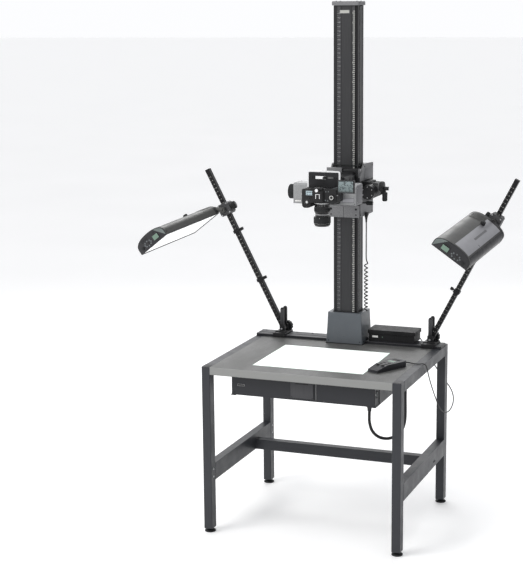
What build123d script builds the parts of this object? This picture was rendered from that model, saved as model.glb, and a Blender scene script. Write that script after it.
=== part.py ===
from build123d import *
import math
import os

os.makedirs("parts", exist_ok=True)

# ---------------------------------------------------------------------------
# Book scanner: a copy stand with a geared column, a camera head and two
# lamps, on a steel table with a light panel.  Millimetres, +Z up.
# The pieces are drawn about the middle of the table top, at floor level, and
# are written about the middle of the whole machine's footprint.
# ---------------------------------------------------------------------------

ORIGIN_X = -41.75          # machine's middle from the table's middle, along X
ORIGIN_Y = 17.0

# table
TABLE_H = 780.0           # top surface above the floor
TABLE_W = 930.0
TABLE_D = 800.0
LEG_W, LEG_D = 40.0, 50.0
LEG_X, LEG_Y = 445.0, 375.0
LEG_Z0 = 18.0             # underside of the leg, on its foot
TUBE_WALL = 2.0
RAIL_Z0 = 731.0           # underside of the side top rails
STRETCHER_Z = (240.0, 320.0)
CROSS_Y = (150.0, 190.0)
CROSS_Z = (240.0, 290.0)
APRON = 35.0              # depth of the table top's folded edge
SKIN = 3.0
FOOT_R = 25.0
FOOT_STEM_R = 5.0

# light panel and its box
PANEL_X = 260.0
PANEL_Y = (-294.0, 126.0)
PANEL_T = 6.0
PANEL_GAP = 2.0
BOX_X = 336.0
BOX_Y = (-360.0, 180.0)
BOX_Z = (654.0, 745.0)
BOX_WALL = 2.5

# rear mounting rail
RAIL_Y = (270.0, 360.0)
RAIL_T = 13.0

# column
COL_X = 60.0
COL_Y = (257.0, 337.0)
COL_Z = (790.0, 2367.0)
COL_WALL = 5.0
CHANNEL_Y = (270.0, 320.0)   # side channel that holds the rack
CHANNEL_X = 48.0
CAP_H = 19.0
COVER_TOP_Z = 930.0

# rack and pinion
MODULE = 2.0
PINION_TEETH = 16
PINION_R = MODULE * PINION_TEETH / 2
SHAFT_Y, SHAFT_Z = 300.0, 1530.0
PITCH = math.pi * MODULE
RACK_LINE_Y = SHAFT_Y - PINION_R

# carriage
CAR_X = 79.0
CAR_PLATE = 7.0
CAR_Y = (222.0, 434.0)
CAR_Z = (1391.0, 1632.0)
PAD_GAP = 0.35

# camera head
HEAD_X = (-157.0, 144.0)
HEAD_Y = (-30.0, 60.0)
HEAD_Z = (1484.0, 1577.0)
HEAD_WALL = 4.0
KNOB_R = 33.5
KNOB_X = (-189.0, -157.4)
KNOB_Y, KNOB_Z = 15.0, 1533.0
PLATE_X = (-84.0, 70.0)
PLATE_Y = (-40.0, -32.5)
PLATE_Z = (1490.0, 1637.0)
SLOT_X = (-48.6, 3.8)
SLOT_Z = (1599.5, 1613.5)

# camera
CAM_X = (-78.0, 84.0)
CAM_Y = (-134.0, -40.0)
CAM_Z = (1503.0, 1566.0)
LENS_X, LENS_Y = 1.0, -84.0
LENS_R = 33.0

# lamp arms
HINGE_Y = 330.0
HINGE_Z = 815.0
HINGE_X_LEFT, HINGE_X_RIGHT = -342.0, 402.0
ARM_LEAN = 27.15
ARM_LEN = 860.0
ARM_W, ARM_D = 22.0, 25.0
ARM_CLAMP_AT = 648.0
PIN_R = 6.0

# lamps: width, length, height, wall
LAMP_W, LAMP_L, LAMP_H, LAMP_WALL = 187.0, 454.0, 62.0, 2.0
LAMP_LEFT = ((-759.6, 53.6, 1304.1), -9.19, -36.27, 5.21)
LAMP_RIGHT = ((635.3, 38.8, 1329.5), -6.18, 34.5, 6.98)

# cords
LEAD_X, LEAD_Y = 84.0, 312.0
LEAD_D, COIL_D = 5.0, 20.0
COIL_Z = (930.0, 1165.0)
GLAND_END_Z = 1358.0
LIGHT_CABLE_D = 13.5
HANDSET_CORD_D = 5.0


def block(x, y, z, mode=Mode.ADD):
    """A box between two corners, in the block that is open."""
    with Locations(((x[0] + x[1]) / 2, (y[0] + y[1]) / 2, (z[0] + z[1]) / 2)):
        Box(x[1] - x[0], y[1] - y[0], z[1] - z[0], mode=mode)


def rod(r, axis, span, a, b, mode=Mode.ADD):
    """A round bar along X, Y or Z over a span, at the other two coordinates."""
    mid, length = (span[0] + span[1]) / 2, span[1] - span[0]
    if axis == "x":
        with Locations((mid, a, b)):
            Cylinder(r, length, rotation=(0, 90, 0), mode=mode)
    elif axis == "y":
        with Locations((a, mid, b)):
            Cylinder(r, length, rotation=(90, 0, 0), mode=mode)
    else:
        with Locations((a, b, mid)):
            Cylinder(r, length, mode=mode)


def tube(x, y, z, axis, wall=TUBE_WALL):
    """A rectangular tube, open at both ends, along one axis."""
    block(x, y, z)
    xi = x if axis == "x" else (x[0] + wall, x[1] - wall)
    yi = y if axis == "y" else (y[0] + wall, y[1] - wall)
    zi = z if axis == "z" else (z[0] + wall, z[1] - wall)
    block(xi, yi, zi, mode=Mode.SUBTRACT)


CORDS = ("lightbox_cable", "handset_cord")
extent = [1e9, 1e9, 1e9, -1e9, -1e9, -1e9]


def keep(name, part, place=None):
    """Label a finished piece, set it in the machine's frame and write it."""
    if place is not None:
        part = part.moved(place)
    part = part.moved(Location((-ORIGIN_X, -ORIGIN_Y, 0)))
    part.label = name
    export_step(part, "parts/" + name + ".step")
    if name not in CORDS:
        b = part.bounding_box()
        for i, v in enumerate((b.min.X, b.min.Y, b.min.Z)):
            extent[i] = min(extent[i], v)
        for i, v in enumerate((b.max.X, b.max.Y, b.max.Z)):
            extent[i + 3] = max(extent[i + 3], v)
    return part


# ---------------------------------------------------------------------------
# table frame
# ---------------------------------------------------------------------------
with BuildPart() as legs:
    with BuildSketch(Plane.XY.offset(LEG_Z0)):
        with GridLocations(2 * LEG_X, 2 * LEG_Y, 2, 2):
            RectangleRounded(LEG_W, LEG_D, 3)
    extrude(amount=TABLE_H - LEG_Z0)
    with BuildSketch(Plane.XY.offset(LEG_Z0 + 6)):
        with GridLocations(2 * LEG_X, 2 * LEG_Y, 2, 2):
            Rectangle(LEG_W - 2 * TUBE_WALL, LEG_D - 2 * TUBE_WALL)
    extrude(amount=TABLE_H - LEG_Z0 - 10, mode=Mode.SUBTRACT)
    with GridLocations(2 * LEG_X, 2 * LEG_Y, 2, 2):
        with Locations((0, 0, LEG_Z0 + 3)):
            Cylinder(FOOT_STEM_R + 0.1, 8, mode=Mode.SUBTRACT)
keep("legs", legs.part)

with BuildPart() as frame_rails:
    for s in (-1, 1):
        xs = sorted((s * 425.0, s * 465.0))
        tube(xs, (-350, 350), (RAIL_Z0, TABLE_H), "y")
    for s in (-1, 1):
        xs = sorted((s * 425.0, s * 465.0))
        tube(xs, (-350, 350), STRETCHER_Z, "y")
    tube((-425, 425), CROSS_Y, CROSS_Z, "x")
keep("frame_rails", frame_rails.part)

# folded sheet top with a cut-out for the light panel
with BuildPart() as table_top:
    block((-425, 425), (-400, 400), (TABLE_H - APRON, TABLE_H))
    fillet(table_top.edges().filter_by(Axis.X).group_by(Axis.Z)[-1], 2.5)
    block((-425 + SKIN, 425 - SKIN), (-400 + SKIN, 400 - SKIN), (TABLE_H - APRON, TABLE_H - SKIN), mode=Mode.SUBTRACT)
    block((-PANEL_X - PANEL_GAP, PANEL_X + PANEL_GAP), (PANEL_Y[0] - PANEL_GAP, PANEL_Y[1] + PANEL_GAP),
          (TABLE_H - APRON, TABLE_H + 1), mode=Mode.SUBTRACT)
    # narrow slot near the left of the panel's rear edge
    block((-330, -280), (188, 191), (TABLE_H - 5, TABLE_H + 1), mode=Mode.SUBTRACT)
keep("table_top", table_top.part)


def make_foot(name, x, y):
    """Levelling foot: round pad, hexagon nut and a stem that runs up into the leg."""
    with BuildPart() as foot:
        with BuildSketch(Plane.XZ.offset(-y)):
            with BuildLine():
                Polyline((x, 0), (x + FOOT_R - 1, 0), (x + FOOT_R, 1), (x + FOOT_R, 6), (x + 12, 11),
                         (x + FOOT_STEM_R, 11), (x + FOOT_STEM_R, 52), (x, 53), close=True)
            make_face()
        revolve(axis=Axis((x, y, 0), (0, 0, 1)))
        with BuildSketch(Plane.XY.offset(10.5)):
            with Locations((x, y)):
                RegularPolygon(10, 6)
        extrude(amount=6.5)
    keep(name, foot.part)


make_foot("foot_front_left", -LEG_X, -LEG_Y)
make_foot("foot_front_right", LEG_X, -LEG_Y)
make_foot("foot_rear_left", -LEG_X, LEG_Y)
make_foot("foot_rear_right", LEG_X, LEG_Y)

# ---------------------------------------------------------------------------
# light panel and light box
# ---------------------------------------------------------------------------
with BuildPart() as glass_panel:
    block((-PANEL_X, PANEL_X), PANEL_Y, (TABLE_H - PANEL_T, TABLE_H))
    chamfer(glass_panel.edges().group_by(Axis.Z)[-1], 0.8)
keep("glass_panel", glass_panel.part)

ROCKER_Y, ROCKER_Z = -335.0, 706.0
with BuildPart() as lightbox_housing:
    block((-BOX_X, BOX_X), BOX_Y, BOX_Z)
    fillet(lightbox_housing.edges().filter_by(Axis.Z), 3)
    block((-BOX_X + BOX_WALL, BOX_X - BOX_WALL), (BOX_Y[0] + BOX_WALL, BOX_Y[1] - BOX_WALL),
          (BOX_Z[0] + BOX_WALL, BOX_Z[1] - BOX_WALL), mode=Mode.SUBTRACT)
    # neck that carries the panel
    block((-PANEL_X + 4, PANEL_X - 4), (PANEL_Y[0] + 4, PANEL_Y[1] - 4), (BOX_Z[1] - BOX_WALL, TABLE_H - PANEL_T))
    block((-PANEL_X + 16, PANEL_X - 16), (PANEL_Y[0] + 16, PANEL_Y[1] - 16), (BOX_Z[1] - 10, TABLE_H), mode=Mode.SUBTRACT)
    # opening for the mains rocker
    block((BOX_X - 5, BOX_X + 1), (ROCKER_Y - 8, ROCKER_Y + 8), (ROCKER_Z - 14, ROCKER_Z + 14), mode=Mode.SUBTRACT)
keep("lightbox_housing", lightbox_housing.part)

GLAND_X, GLAND_Y = 302.0, -330.0
with BuildPart() as lightbox_fittings:
    # two straps under the box, hung from the table top
    for s in (-1, 1):
        xs = sorted((s * 317.0, s * (BOX_X + 3.0)))
        block(xs, (BOX_Y[0], BOX_Y[1]), (BOX_Z[0] - 4, BOX_Z[0]))
        xs = sorted((s * BOX_X, s * (BOX_X + 3.0)))
        block(xs, (BOX_Y[0] + 60, BOX_Y[1]), (BOX_Z[0] - 4, TABLE_H - SKIN))
    # tube access cover on the front, with its pull slot beside it
    block((-54, 54), (BOX_Y[0] - 2, BOX_Y[0]), (BOX_Z[0] + 8, BOX_Z[1] - 4))
    block((56, 68), (BOX_Y[0] - 1.2, BOX_Y[0]), (BOX_Z[0] + 6, BOX_Z[1] - 2))
    # gland of the box's cable
    with BuildSketch(Plane.XZ.offset(-GLAND_Y)):
        with BuildLine():
            Polyline((GLAND_X, 654), (GLAND_X + 13, 654), (GLAND_X + 13, 646), (GLAND_X + 10, 642),
                     (GLAND_X + 8, 626), (GLAND_X, 626), close=True)
        make_face()
    revolve(axis=Axis((GLAND_X, GLAND_Y, 0), (0, 0, 1)))
keep("lightbox_fittings", lightbox_fittings.part)

with BuildPart() as backlight_tubes:
    for y in (-240, -140, -40, 60):
        rod(8, "x", (-300, 300), y, 700)
        for s in (-1, 1):
            xs = sorted((s * 300.0, s * (BOX_X - BOX_WALL)))
            block(xs, (y - 12, y + 12), (680, 718))
keep("backlight_tubes", backlight_tubes.part)

# mains rocker, lying on its off side
with BuildPart() as power_rocker:
    with BuildSketch(Plane.XZ.offset(-(ROCKER_Y + 6.5))):
        with BuildLine():
            Polyline((-6, -11.5), (1.5, -11.5), (4, -11), (1.2, 0), (4, 11), (1.5, 11.5), (-6, 11.5), close=True)
        make_face()
    extrude(amount=13)
keep("power_rocker", power_rocker.part.rotate(Axis.Y, 7), Location((BOX_X - 1.0, 0, ROCKER_Z)))

# ---------------------------------------------------------------------------
# rear rail and column
# ---------------------------------------------------------------------------
with BuildPart() as rear_rails:
    for s in (-1, 1):
        xs = sorted((s * 92.0, s * 460.0))
        block(xs, RAIL_Y, (TABLE_H, TABLE_H + RAIL_T))
        block(xs, (RAIL_Y[0], RAIL_Y[0] + 4), (TABLE_H + 4, TABLE_H + 8), mode=Mode.SUBTRACT)
        block(xs, (RAIL_Y[1] - 4, RAIL_Y[1]), (TABLE_H + 4, TABLE_H + 8), mode=Mode.SUBTRACT)
        block(xs, (300, 306), (TABLE_H + 10, TABLE_H + RAIL_T), mode=Mode.SUBTRACT)
keep("rear_rails", rear_rails.part)

MIDY = (COL_Y[0] + COL_Y[1]) / 2
with BuildPart() as column:
    with BuildSketch(Plane.XY.offset(COL_Z[0])):
        with Locations((0, MIDY)):
            RectangleRounded(2 * COL_X, COL_Y[1] - COL_Y[0], 2.5)
        # chambers
        with Locations((-26, MIDY)):
            Rectangle(46, 64, mode=Mode.SUBTRACT)
        with Locations((20.5, MIDY)):
            Rectangle(37, 64, mode=Mode.SUBTRACT)
        # rack channel on the right, T slots on the left and at the back
        with Locations(((CHANNEL_X + COL_X + 1) / 2, (CHANNEL_Y[0] + CHANNEL_Y[1]) / 2)):
            Rectangle(COL_X - CHANNEL_X + 1, CHANNEL_Y[1] - CHANNEL_Y[0], mode=Mode.SUBTRACT)
        with Locations((-57, MIDY)):
            Rectangle(8, 12, mode=Mode.SUBTRACT)
        with Locations((0, COL_Y[1] - 2)):
            Rectangle(16, 6, mode=Mode.SUBTRACT)
        # grooves on the front face
        with Locations((51, COL_Y[0] + 1)):
            Rectangle(12, 6, mode=Mode.SUBTRACT)
        with Locations((-48, COL_Y[0] + 0.5)):
            Rectangle(12, 2, mode=Mode.SUBTRACT)
        with Locations((-22.5, COL_Y[0])):
            Rectangle(3, 3, mode=Mode.SUBTRACT)
        with Locations((28, COL_Y[0])):
            Rectangle(3, 3, mode=Mode.SUBTRACT)
        # narrow line down the right side
        with Locations((COL_X, 330)):
            Rectangle(3, 3, mode=Mode.SUBTRACT)
    extrude(amount=COL_Z[1] - COL_Z[0])
keep("column", column.part)

with BuildPart() as column_cap:
    block((-COL_X - 8, COL_X + 8), (COL_Y[0] - 8, COL_Y[1] + 8), (COL_Z[1], COL_Z[1] + CAP_H))
    fillet(column_cap.edges().filter_by(Axis.Z), 10)
    fillet(column_cap.edges().group_by(Axis.Z)[-1], 5)
    block((-44, -8), (270, 324), (COL_Z[1] - 10, COL_Z[1]))
keep("column_cap", column_cap.part)

# rack in the side channel; tooth spaces are centred on the pinion's height
RACK_Z = (800.0, 2345.0)
RACK_BACK = CHANNEL_Y[0]
ROOT_Y, TIP_Y = RACK_LINE_Y - 2.5, RACK_LINE_Y + 1.8
rack_points = [(RACK_BACK, RACK_Z[0]), (ROOT_Y, RACK_Z[0])]
k0 = math.ceil((RACK_Z[0] + 5 - SHAFT_Z) / PITCH)
k1 = math.floor((RACK_Z[1] - 5 - SHAFT_Z) / PITCH)
for k in range(k0, k1):
    zc = SHAFT_Z + (k + 0.5) * PITCH
    rack_points += [(ROOT_Y, zc - 2.2), (TIP_Y, zc - 0.65), (TIP_Y, zc + 0.65), (ROOT_Y, zc + 2.2)]
rack_points += [(ROOT_Y, RACK_Z[1]), (RACK_BACK, RACK_Z[1])]
with BuildPart() as column_rack:
    with BuildSketch(Plane.YZ.offset(CHANNEL_X)):
        with BuildLine():
            Polyline(*rack_points, close=True)
        make_face()
    extrude(amount=9.5)
keep("column_rack", column_rack.part)

# foot of the column, inside its cover: plate, post that fills the chambers, bolts
with BuildPart() as column_base_plate:
    block((-80, 80), (242, 372), (TABLE_H, TABLE_H + 10))
    block((-COL_X - 9, -COL_X), (COL_Y[0], COL_Y[1]), (TABLE_H + 10, 860))
    block((COL_X, COL_X + 9), (COL_Y[0], COL_Y[1]), (TABLE_H + 10, 860))
    with Locations((0, 307, TABLE_H + 10)):
        with GridLocations(136, 106, 2, 2):
            Cylinder(6.5, 7, align=(Align.CENTER, Align.CENTER, Align.MIN))
keep("column_base_plate", column_base_plate.part)

with BuildPart() as column_base_cover:
    with BuildSketch(Plane.XY.offset(TABLE_H)):
        with Locations((0, 308.5)):
            RectangleRounded(180, 153, 4)
    with BuildSketch(Plane.XY.offset(COVER_TOP_Z)):
        with Locations((0, 308)):
            RectangleRounded(166, 140, 4)
    loft()
    with BuildSketch(Plane.XY.offset(TABLE_H)):
        with Locations((0, 308.5)):
            Rectangle(174, 147)
    with BuildSketch(Plane.XY.offset(COVER_TOP_Z - 3)):
        with Locations((0, 308)):
            Rectangle(160, 134)
    loft(mode=Mode.SUBTRACT)
    block((-COL_X - 0.4, COL_X + 0.4), (COL_Y[0] - 0.4, COL_Y[1] + 0.4), (COVER_TOP_Z - 10, COVER_TOP_Z + 1), mode=Mode.SUBTRACT)
keep("column_base_cover", column_base_cover.part)

# drive control unit on the right rear rail
with BuildPart() as control_unit:
    block((107, 330), (286, 394), (TABLE_H + RAIL_T, 832))
    block((109, 328), (288, 392), (TABLE_H + RAIL_T + 3, 830), mode=Mode.SUBTRACT)
    block((102, 335), (281, 398), (832, 848))
    fillet(control_unit.edges().filter_by(Axis.Z).group_by(Axis.Z)[-1], 4)
keep("control_unit", control_unit.part)

# ---------------------------------------------------------------------------
# carriage
# ---------------------------------------------------------------------------
side_outline = [(CAR_Y[0], CAR_Z[0]), (CAR_Y[1], CAR_Z[0]), (CAR_Y[1], CAR_Z[1]), (290, CAR_Z[1] + 6),
                (252, 1600), (CAR_Y[0], 1576)]
with BuildPart() as carriage_plates:
    for s in (-1, 1):
        x0 = min(s * CAR_X, s * (CAR_X - CAR_PLATE))
        with BuildSketch(Plane.YZ.offset(x0)):
            with BuildLine():
                Polyline(*side_outline, close=True)
            make_face()
        extrude(amount=CAR_PLATE)
    # shaft hole in the right plate and lock screw hole
    rod(5.1, "x", (70, 82), SHAFT_Y, SHAFT_Z, mode=Mode.SUBTRACT)
    rod(3.1, "x", (70, 82), 250, 1459, mode=Mode.SUBTRACT)
    # upper front plate and the lower clamp plate in two halves
    block((-72, 72), (222, 251), (1449, 1620))
    block((-72, -0.75), (222, 251), (CAR_Z[0], 1447))
    block((0.75, 72), (222, 251), (CAR_Z[0], 1447))
    # block on the upper left
    block((-79, -6), (212, 222), (1601, 1625))
keep("carriage_plates", carriage_plates.part)

with BuildPart() as carriage_housing:
    block((-72, 72), (346, CAR_Y[1]), (CAR_Z[0] + 4, CAR_Z[1] - 4))
    block((-69, 69), (349, CAR_Y[1] - 3), (CAR_Z[0] + 7, CAR_Z[1] - 7), mode=Mode.SUBTRACT)
keep("carriage_housing", carriage_housing.part)

# low-friction guide pads between the carriage and the column
with BuildPart() as guide_pads:
    for z in (1405.0, 1575.0):
        for s in (-1, 1):
            xs = sorted((s * (COL_X + PAD_GAP), s * (CAR_X - CAR_PLATE)))
            block(xs, (258, 268), (z, z + 40))
            block(xs, (322, 334), (z, z + 40))
            xs = sorted((s * 34.0, s * 41.0))
            block(xs, (251, COL_Y[0] - PAD_GAP), (z, z + 36))
            block(xs, (COL_Y[1] + PAD_GAP, 346), (z, z + 40))
keep("guide_pads", guide_pads.part)

# gear case on the right side, along the carriage
CASE_X, CASE_Z, CASE_R = 113.0, 1511.0, 34.0
with BuildPart() as drive_housing:
    rod(CASE_R, "y", (232, 408), CASE_X, CASE_Z)
    chamfer(drive_housing.edges().filter_by(GeomType.CIRCLE), 4)
    block((CAR_X, CASE_X), (262, 372), (CASE_Z - 30, CASE_Z + 44))
    rod(20, "x", (100, 153), SHAFT_Y, SHAFT_Z)
    rod(5.1, "x", (70, 160), SHAFT_Y, SHAFT_Z, mode=Mode.SUBTRACT)
keep("drive_housing", drive_housing.part)

# crank: pinion, shaft, hub and folded grip
with BuildPart() as crank:
    tooth = [(PINION_R - 2.4, -1.9), (PINION_R + 1.6, -0.6), (PINION_R + 1.6, 0.6), (PINION_R - 2.4, 1.9)]
    with BuildSketch(Plane.YZ.offset(49.5)):
        with Locations((SHAFT_Y, SHAFT_Z)):
            Circle(PINION_R - 2.0)
        for i in range(PINION_TEETH):
            a = math.pi + 2 * math.pi * i / PINION_TEETH
            pts = [(SHAFT_Y + r * math.cos(a) - t * math.sin(a), SHAFT_Z + r * math.sin(a) + t * math.cos(a)) for r, t in tooth]
            with BuildLine():
                Polyline(*pts, close=True)
            make_face()
    extrude(amount=7.5)
    rod(FOOT_STEM_R, "x", (50, 166), SHAFT_Y, SHAFT_Z)
    rod(24, "x", (156, 172), SHAFT_Y, SHAFT_Z + 2)
    block((160, 170), (291, 309), (1496, 1530))
    rod(12, "z", (1464, 1506), 178, SHAFT_Y)
    block((166, 182), (293, 307), (1498, 1516))
    rod(9, "x", (172, 196), SHAFT_Y, SHAFT_Z - 6)
    fillet(crank.faces().sort_by(Axis.Z)[0].edges(), 5)
keep("crank", crank.part)

with BuildPart() as lock_knob:
    rod(3, "x", (73, 106), 250, 1459)
    rod(8.5, "x", (104, 136), 250, 1459)
    chamfer(lock_knob.faces().sort_by(Axis.X)[-1].edges(), 1.5)
keep("lock_knob", lock_knob.part)

with BuildPart() as lead_gland:
    block((CAR_X, CAR_X + 14), (LEAD_Y - 9, LEAD_Y + 9), (1391, 1407))
    with BuildSketch(Plane.XZ.offset(-LEAD_Y)):
        with BuildLine():
            Polyline((LEAD_X, 1391), (LEAD_X + 8, 1391), (LEAD_X + 8, 1384), (LEAD_X + 6, 1381),
                     (LEAD_X + 3.6, GLAND_END_Z), (LEAD_X, GLAND_END_Z), close=True)
        make_face()
    revolve(axis=Axis((LEAD_X, LEAD_Y, 0), (0, 0, 1)))
keep("lead_gland", lead_gland.part)

# ---------------------------------------------------------------------------
# camera arm, head and camera
# ---------------------------------------------------------------------------
with BuildPart() as camera_arm:
    block((-48, 60), (HEAD_Y[1], 222), (1502, 1600))
    chamfer(camera_arm.edges().filter_by(Axis.Y), 6)
    block((-38, 50), (HEAD_Y[1] + 8, 214), (1512, 1590), mode=Mode.SUBTRACT)
    # gusset below, out to the clamp plate
    with BuildSketch(Plane.YZ.offset(-8)):
        with BuildLine():
            Polyline((222, 1502), (222, 1452), (130, 1502), close=True)
        make_face()
    extrude(amount=16)
keep("camera_arm", camera_arm.part)

with BuildPart() as head_box:
    block(HEAD_X, HEAD_Y, HEAD_Z)
    chamfer(head_box.edges().filter_by(Axis.X).group_by(Axis.Z)[-1], 8)
    fillet(head_box.edges().filter_by(Axis.Z), 3)
    block((HEAD_X[0] + HEAD_WALL, HEAD_X[1] - HEAD_WALL), (HEAD_Y[0] + HEAD_WALL, HEAD_Y[1] - HEAD_WALL),
          (HEAD_Z[0] + HEAD_WALL, HEAD_Z[1] - HEAD_WALL - 8), mode=Mode.SUBTRACT)
    rod(5.1, "x", (HEAD_X[0] - 1, HEAD_X[0] + 10), KNOB_Y, KNOB_Z, mode=Mode.SUBTRACT)
keep("head_box", head_box.part)

with BuildPart() as focus_knob:
    rod(KNOB_R, "x", KNOB_X, KNOB_Y, KNOB_Z)
    chamfer(focus_knob.faces().sort_by(Axis.X)[0].edges(), 3)
    with Locations(Location((sum(KNOB_X) / 2, KNOB_Y, KNOB_Z), (0, 90, 0))):
        with PolarLocations(KNOB_R + 0.8, 30):
            Cylinder(2.2, 24, mode=Mode.SUBTRACT)
    rod(5, "x", (KNOB_X[1], -120), KNOB_Y, KNOB_Z)
keep("focus_knob", focus_knob.part)

with BuildPart() as camera_plate:
    with BuildSketch(Plane.XZ.offset(-PLATE_Y[1])):
        with Locations(((PLATE_X[0] + PLATE_X[1]) / 2, (PLATE_Z[0] + PLATE_Z[1]) / 2)):
            RectangleRounded(PLATE_X[1] - PLATE_X[0], PLATE_Z[1] - PLATE_Z[0], 10)
        with Locations(((SLOT_X[0] + SLOT_X[1]) / 2, (SLOT_Z[0] + SLOT_Z[1]) / 2)):
            Rectangle(SLOT_X[1] - SLOT_X[0], SLOT_Z[1] - SLOT_Z[0], mode=Mode.SUBTRACT)
    extrude(amount=PLATE_Y[1] - PLATE_Y[0])
    # recess that leaves a raised rim
    with BuildSketch(Plane.XZ.offset(-PLATE_Y[0])):
        with Locations(((PLATE_X[0] + PLATE_X[1]) / 2, (PLATE_Z[0] + PLATE_Z[1]) / 2)):
            RectangleRounded(PLATE_X[1] - PLATE_X[0] - 12, PLATE_Z[1] - PLATE_Z[0] - 12, 6)
    extrude(amount=-2, mode=Mode.SUBTRACT)
keep("camera_plate", camera_plate.part)

with BuildPart() as camera_body:
    block(CAM_X, (CAM_Y[0], PLATE_Y[0]), CAM_Z)
    fillet(camera_body.edges().filter_by(Axis.Y), 9)
    # foot that the plate's screw pulls against
    block((-30, 32), (PLATE_Y[0] - 1, PLATE_Y[0] + 2), (1512, 1556))
    # hand grip
    with BuildSketch(Plane.XZ.offset(-(CAM_Y[1] - 8))):
        with Locations((CAM_X[0] + 20.5, CAM_Z[0] - 4)):
            RectangleRounded(41, 38, 14)
    extrude(amount=CAM_Y[1] - CAM_Y[0] - 10)
    # prism hump on the top plate, and the lens mount
    block((LENS_X - 26, LENS_X + 26), (CAM_Y[0] - 10, CAM_Y[0]), (CAM_Z[0] + 4, CAM_Z[1] - 6))
    rod(35, "z", (CAM_Z[0] - 5, CAM_Z[0] + 2), LENS_X, LENS_Y)
    # socket for the release button and the dial
    rod(6.2, "y", (CAM_Y[0] - 1, CAM_Y[0] + 7), -54, 1506, mode=Mode.SUBTRACT)
    # hinge lug of the display
    rod(5, "x", (CAM_X[1] - 4, CAM_X[1] + 3), -121, 1560)
keep("camera_body", camera_body.part)

with BuildPart() as camera_display:
    block((88, 166), (-128, -118), (1551, 1609))
    fillet(camera_display.edges().filter_by(Axis.Y), 4)
    rod(4, "x", (87.2, 96), -121, 1560)
keep("camera_display", camera_display.part)

with BuildPart() as shutter_button:
    rod(5.8, "y", (CAM_Y[0] - 3.5, CAM_Y[0] + 3.5), -54, 1506)
    fillet(shutter_button.faces().sort_by(Axis.Y)[0].edges(), 1.5)
keep("shutter_button", shutter_button.part)

with BuildPart() as mode_dial:
    rod(12, "y", (CAM_Y[0] - 9.3, CAM_Y[0] - 0.3), 64, 1531)
    with Locations(Location((64, CAM_Y[0] - 4.8, 1531), (90, 0, 0))):
        with PolarLocations(12.4, 20):
            Cylinder(1.1, 9.2, mode=Mode.SUBTRACT)
keep("mode_dial", mode_dial.part)

LENS_TOP = CAM_Z[0] - 5
with BuildPart() as lens_barrel:
    with BuildSketch(Plane.XZ.offset(-LENS_Y)):
        with BuildLine():
            Polyline((LENS_X, LENS_TOP), (LENS_X + 34, LENS_TOP), (LENS_X + 34, 1484), (LENS_X + 35.5, 1482),
                     (LENS_X + 35.5, 1458), (LENS_X + 31.5, 1452), (LENS_X + 31.5, 1441), (LENS_X + LENS_R, 1440),
                     (LENS_X + LENS_R, 1407), (LENS_X + 36, 1405), (LENS_X + 30, 1394), (LENS_X + 27, 1394),
                     (LENS_X + 24, 1402), (LENS_X, 1404.5), close=True)
        make_face()
    revolve(axis=Axis((LENS_X, LENS_Y, 0), (0, 0, 1)))
keep("lens_barrel", lens_barrel.part)

with BuildPart() as focus_ring:
    rod(38.5, "z", (1408, 1436), LENS_X, LENS_Y)
    rod(LENS_R + 0.1, "z", (1400, 1440), LENS_X, LENS_Y, mode=Mode.SUBTRACT)
    with Locations((LENS_X, LENS_Y, 1422)):
        with PolarLocations(38.9, 36):
            Cylinder(1.3, 22, mode=Mode.SUBTRACT)
keep("focus_ring", focus_ring.part)


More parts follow.
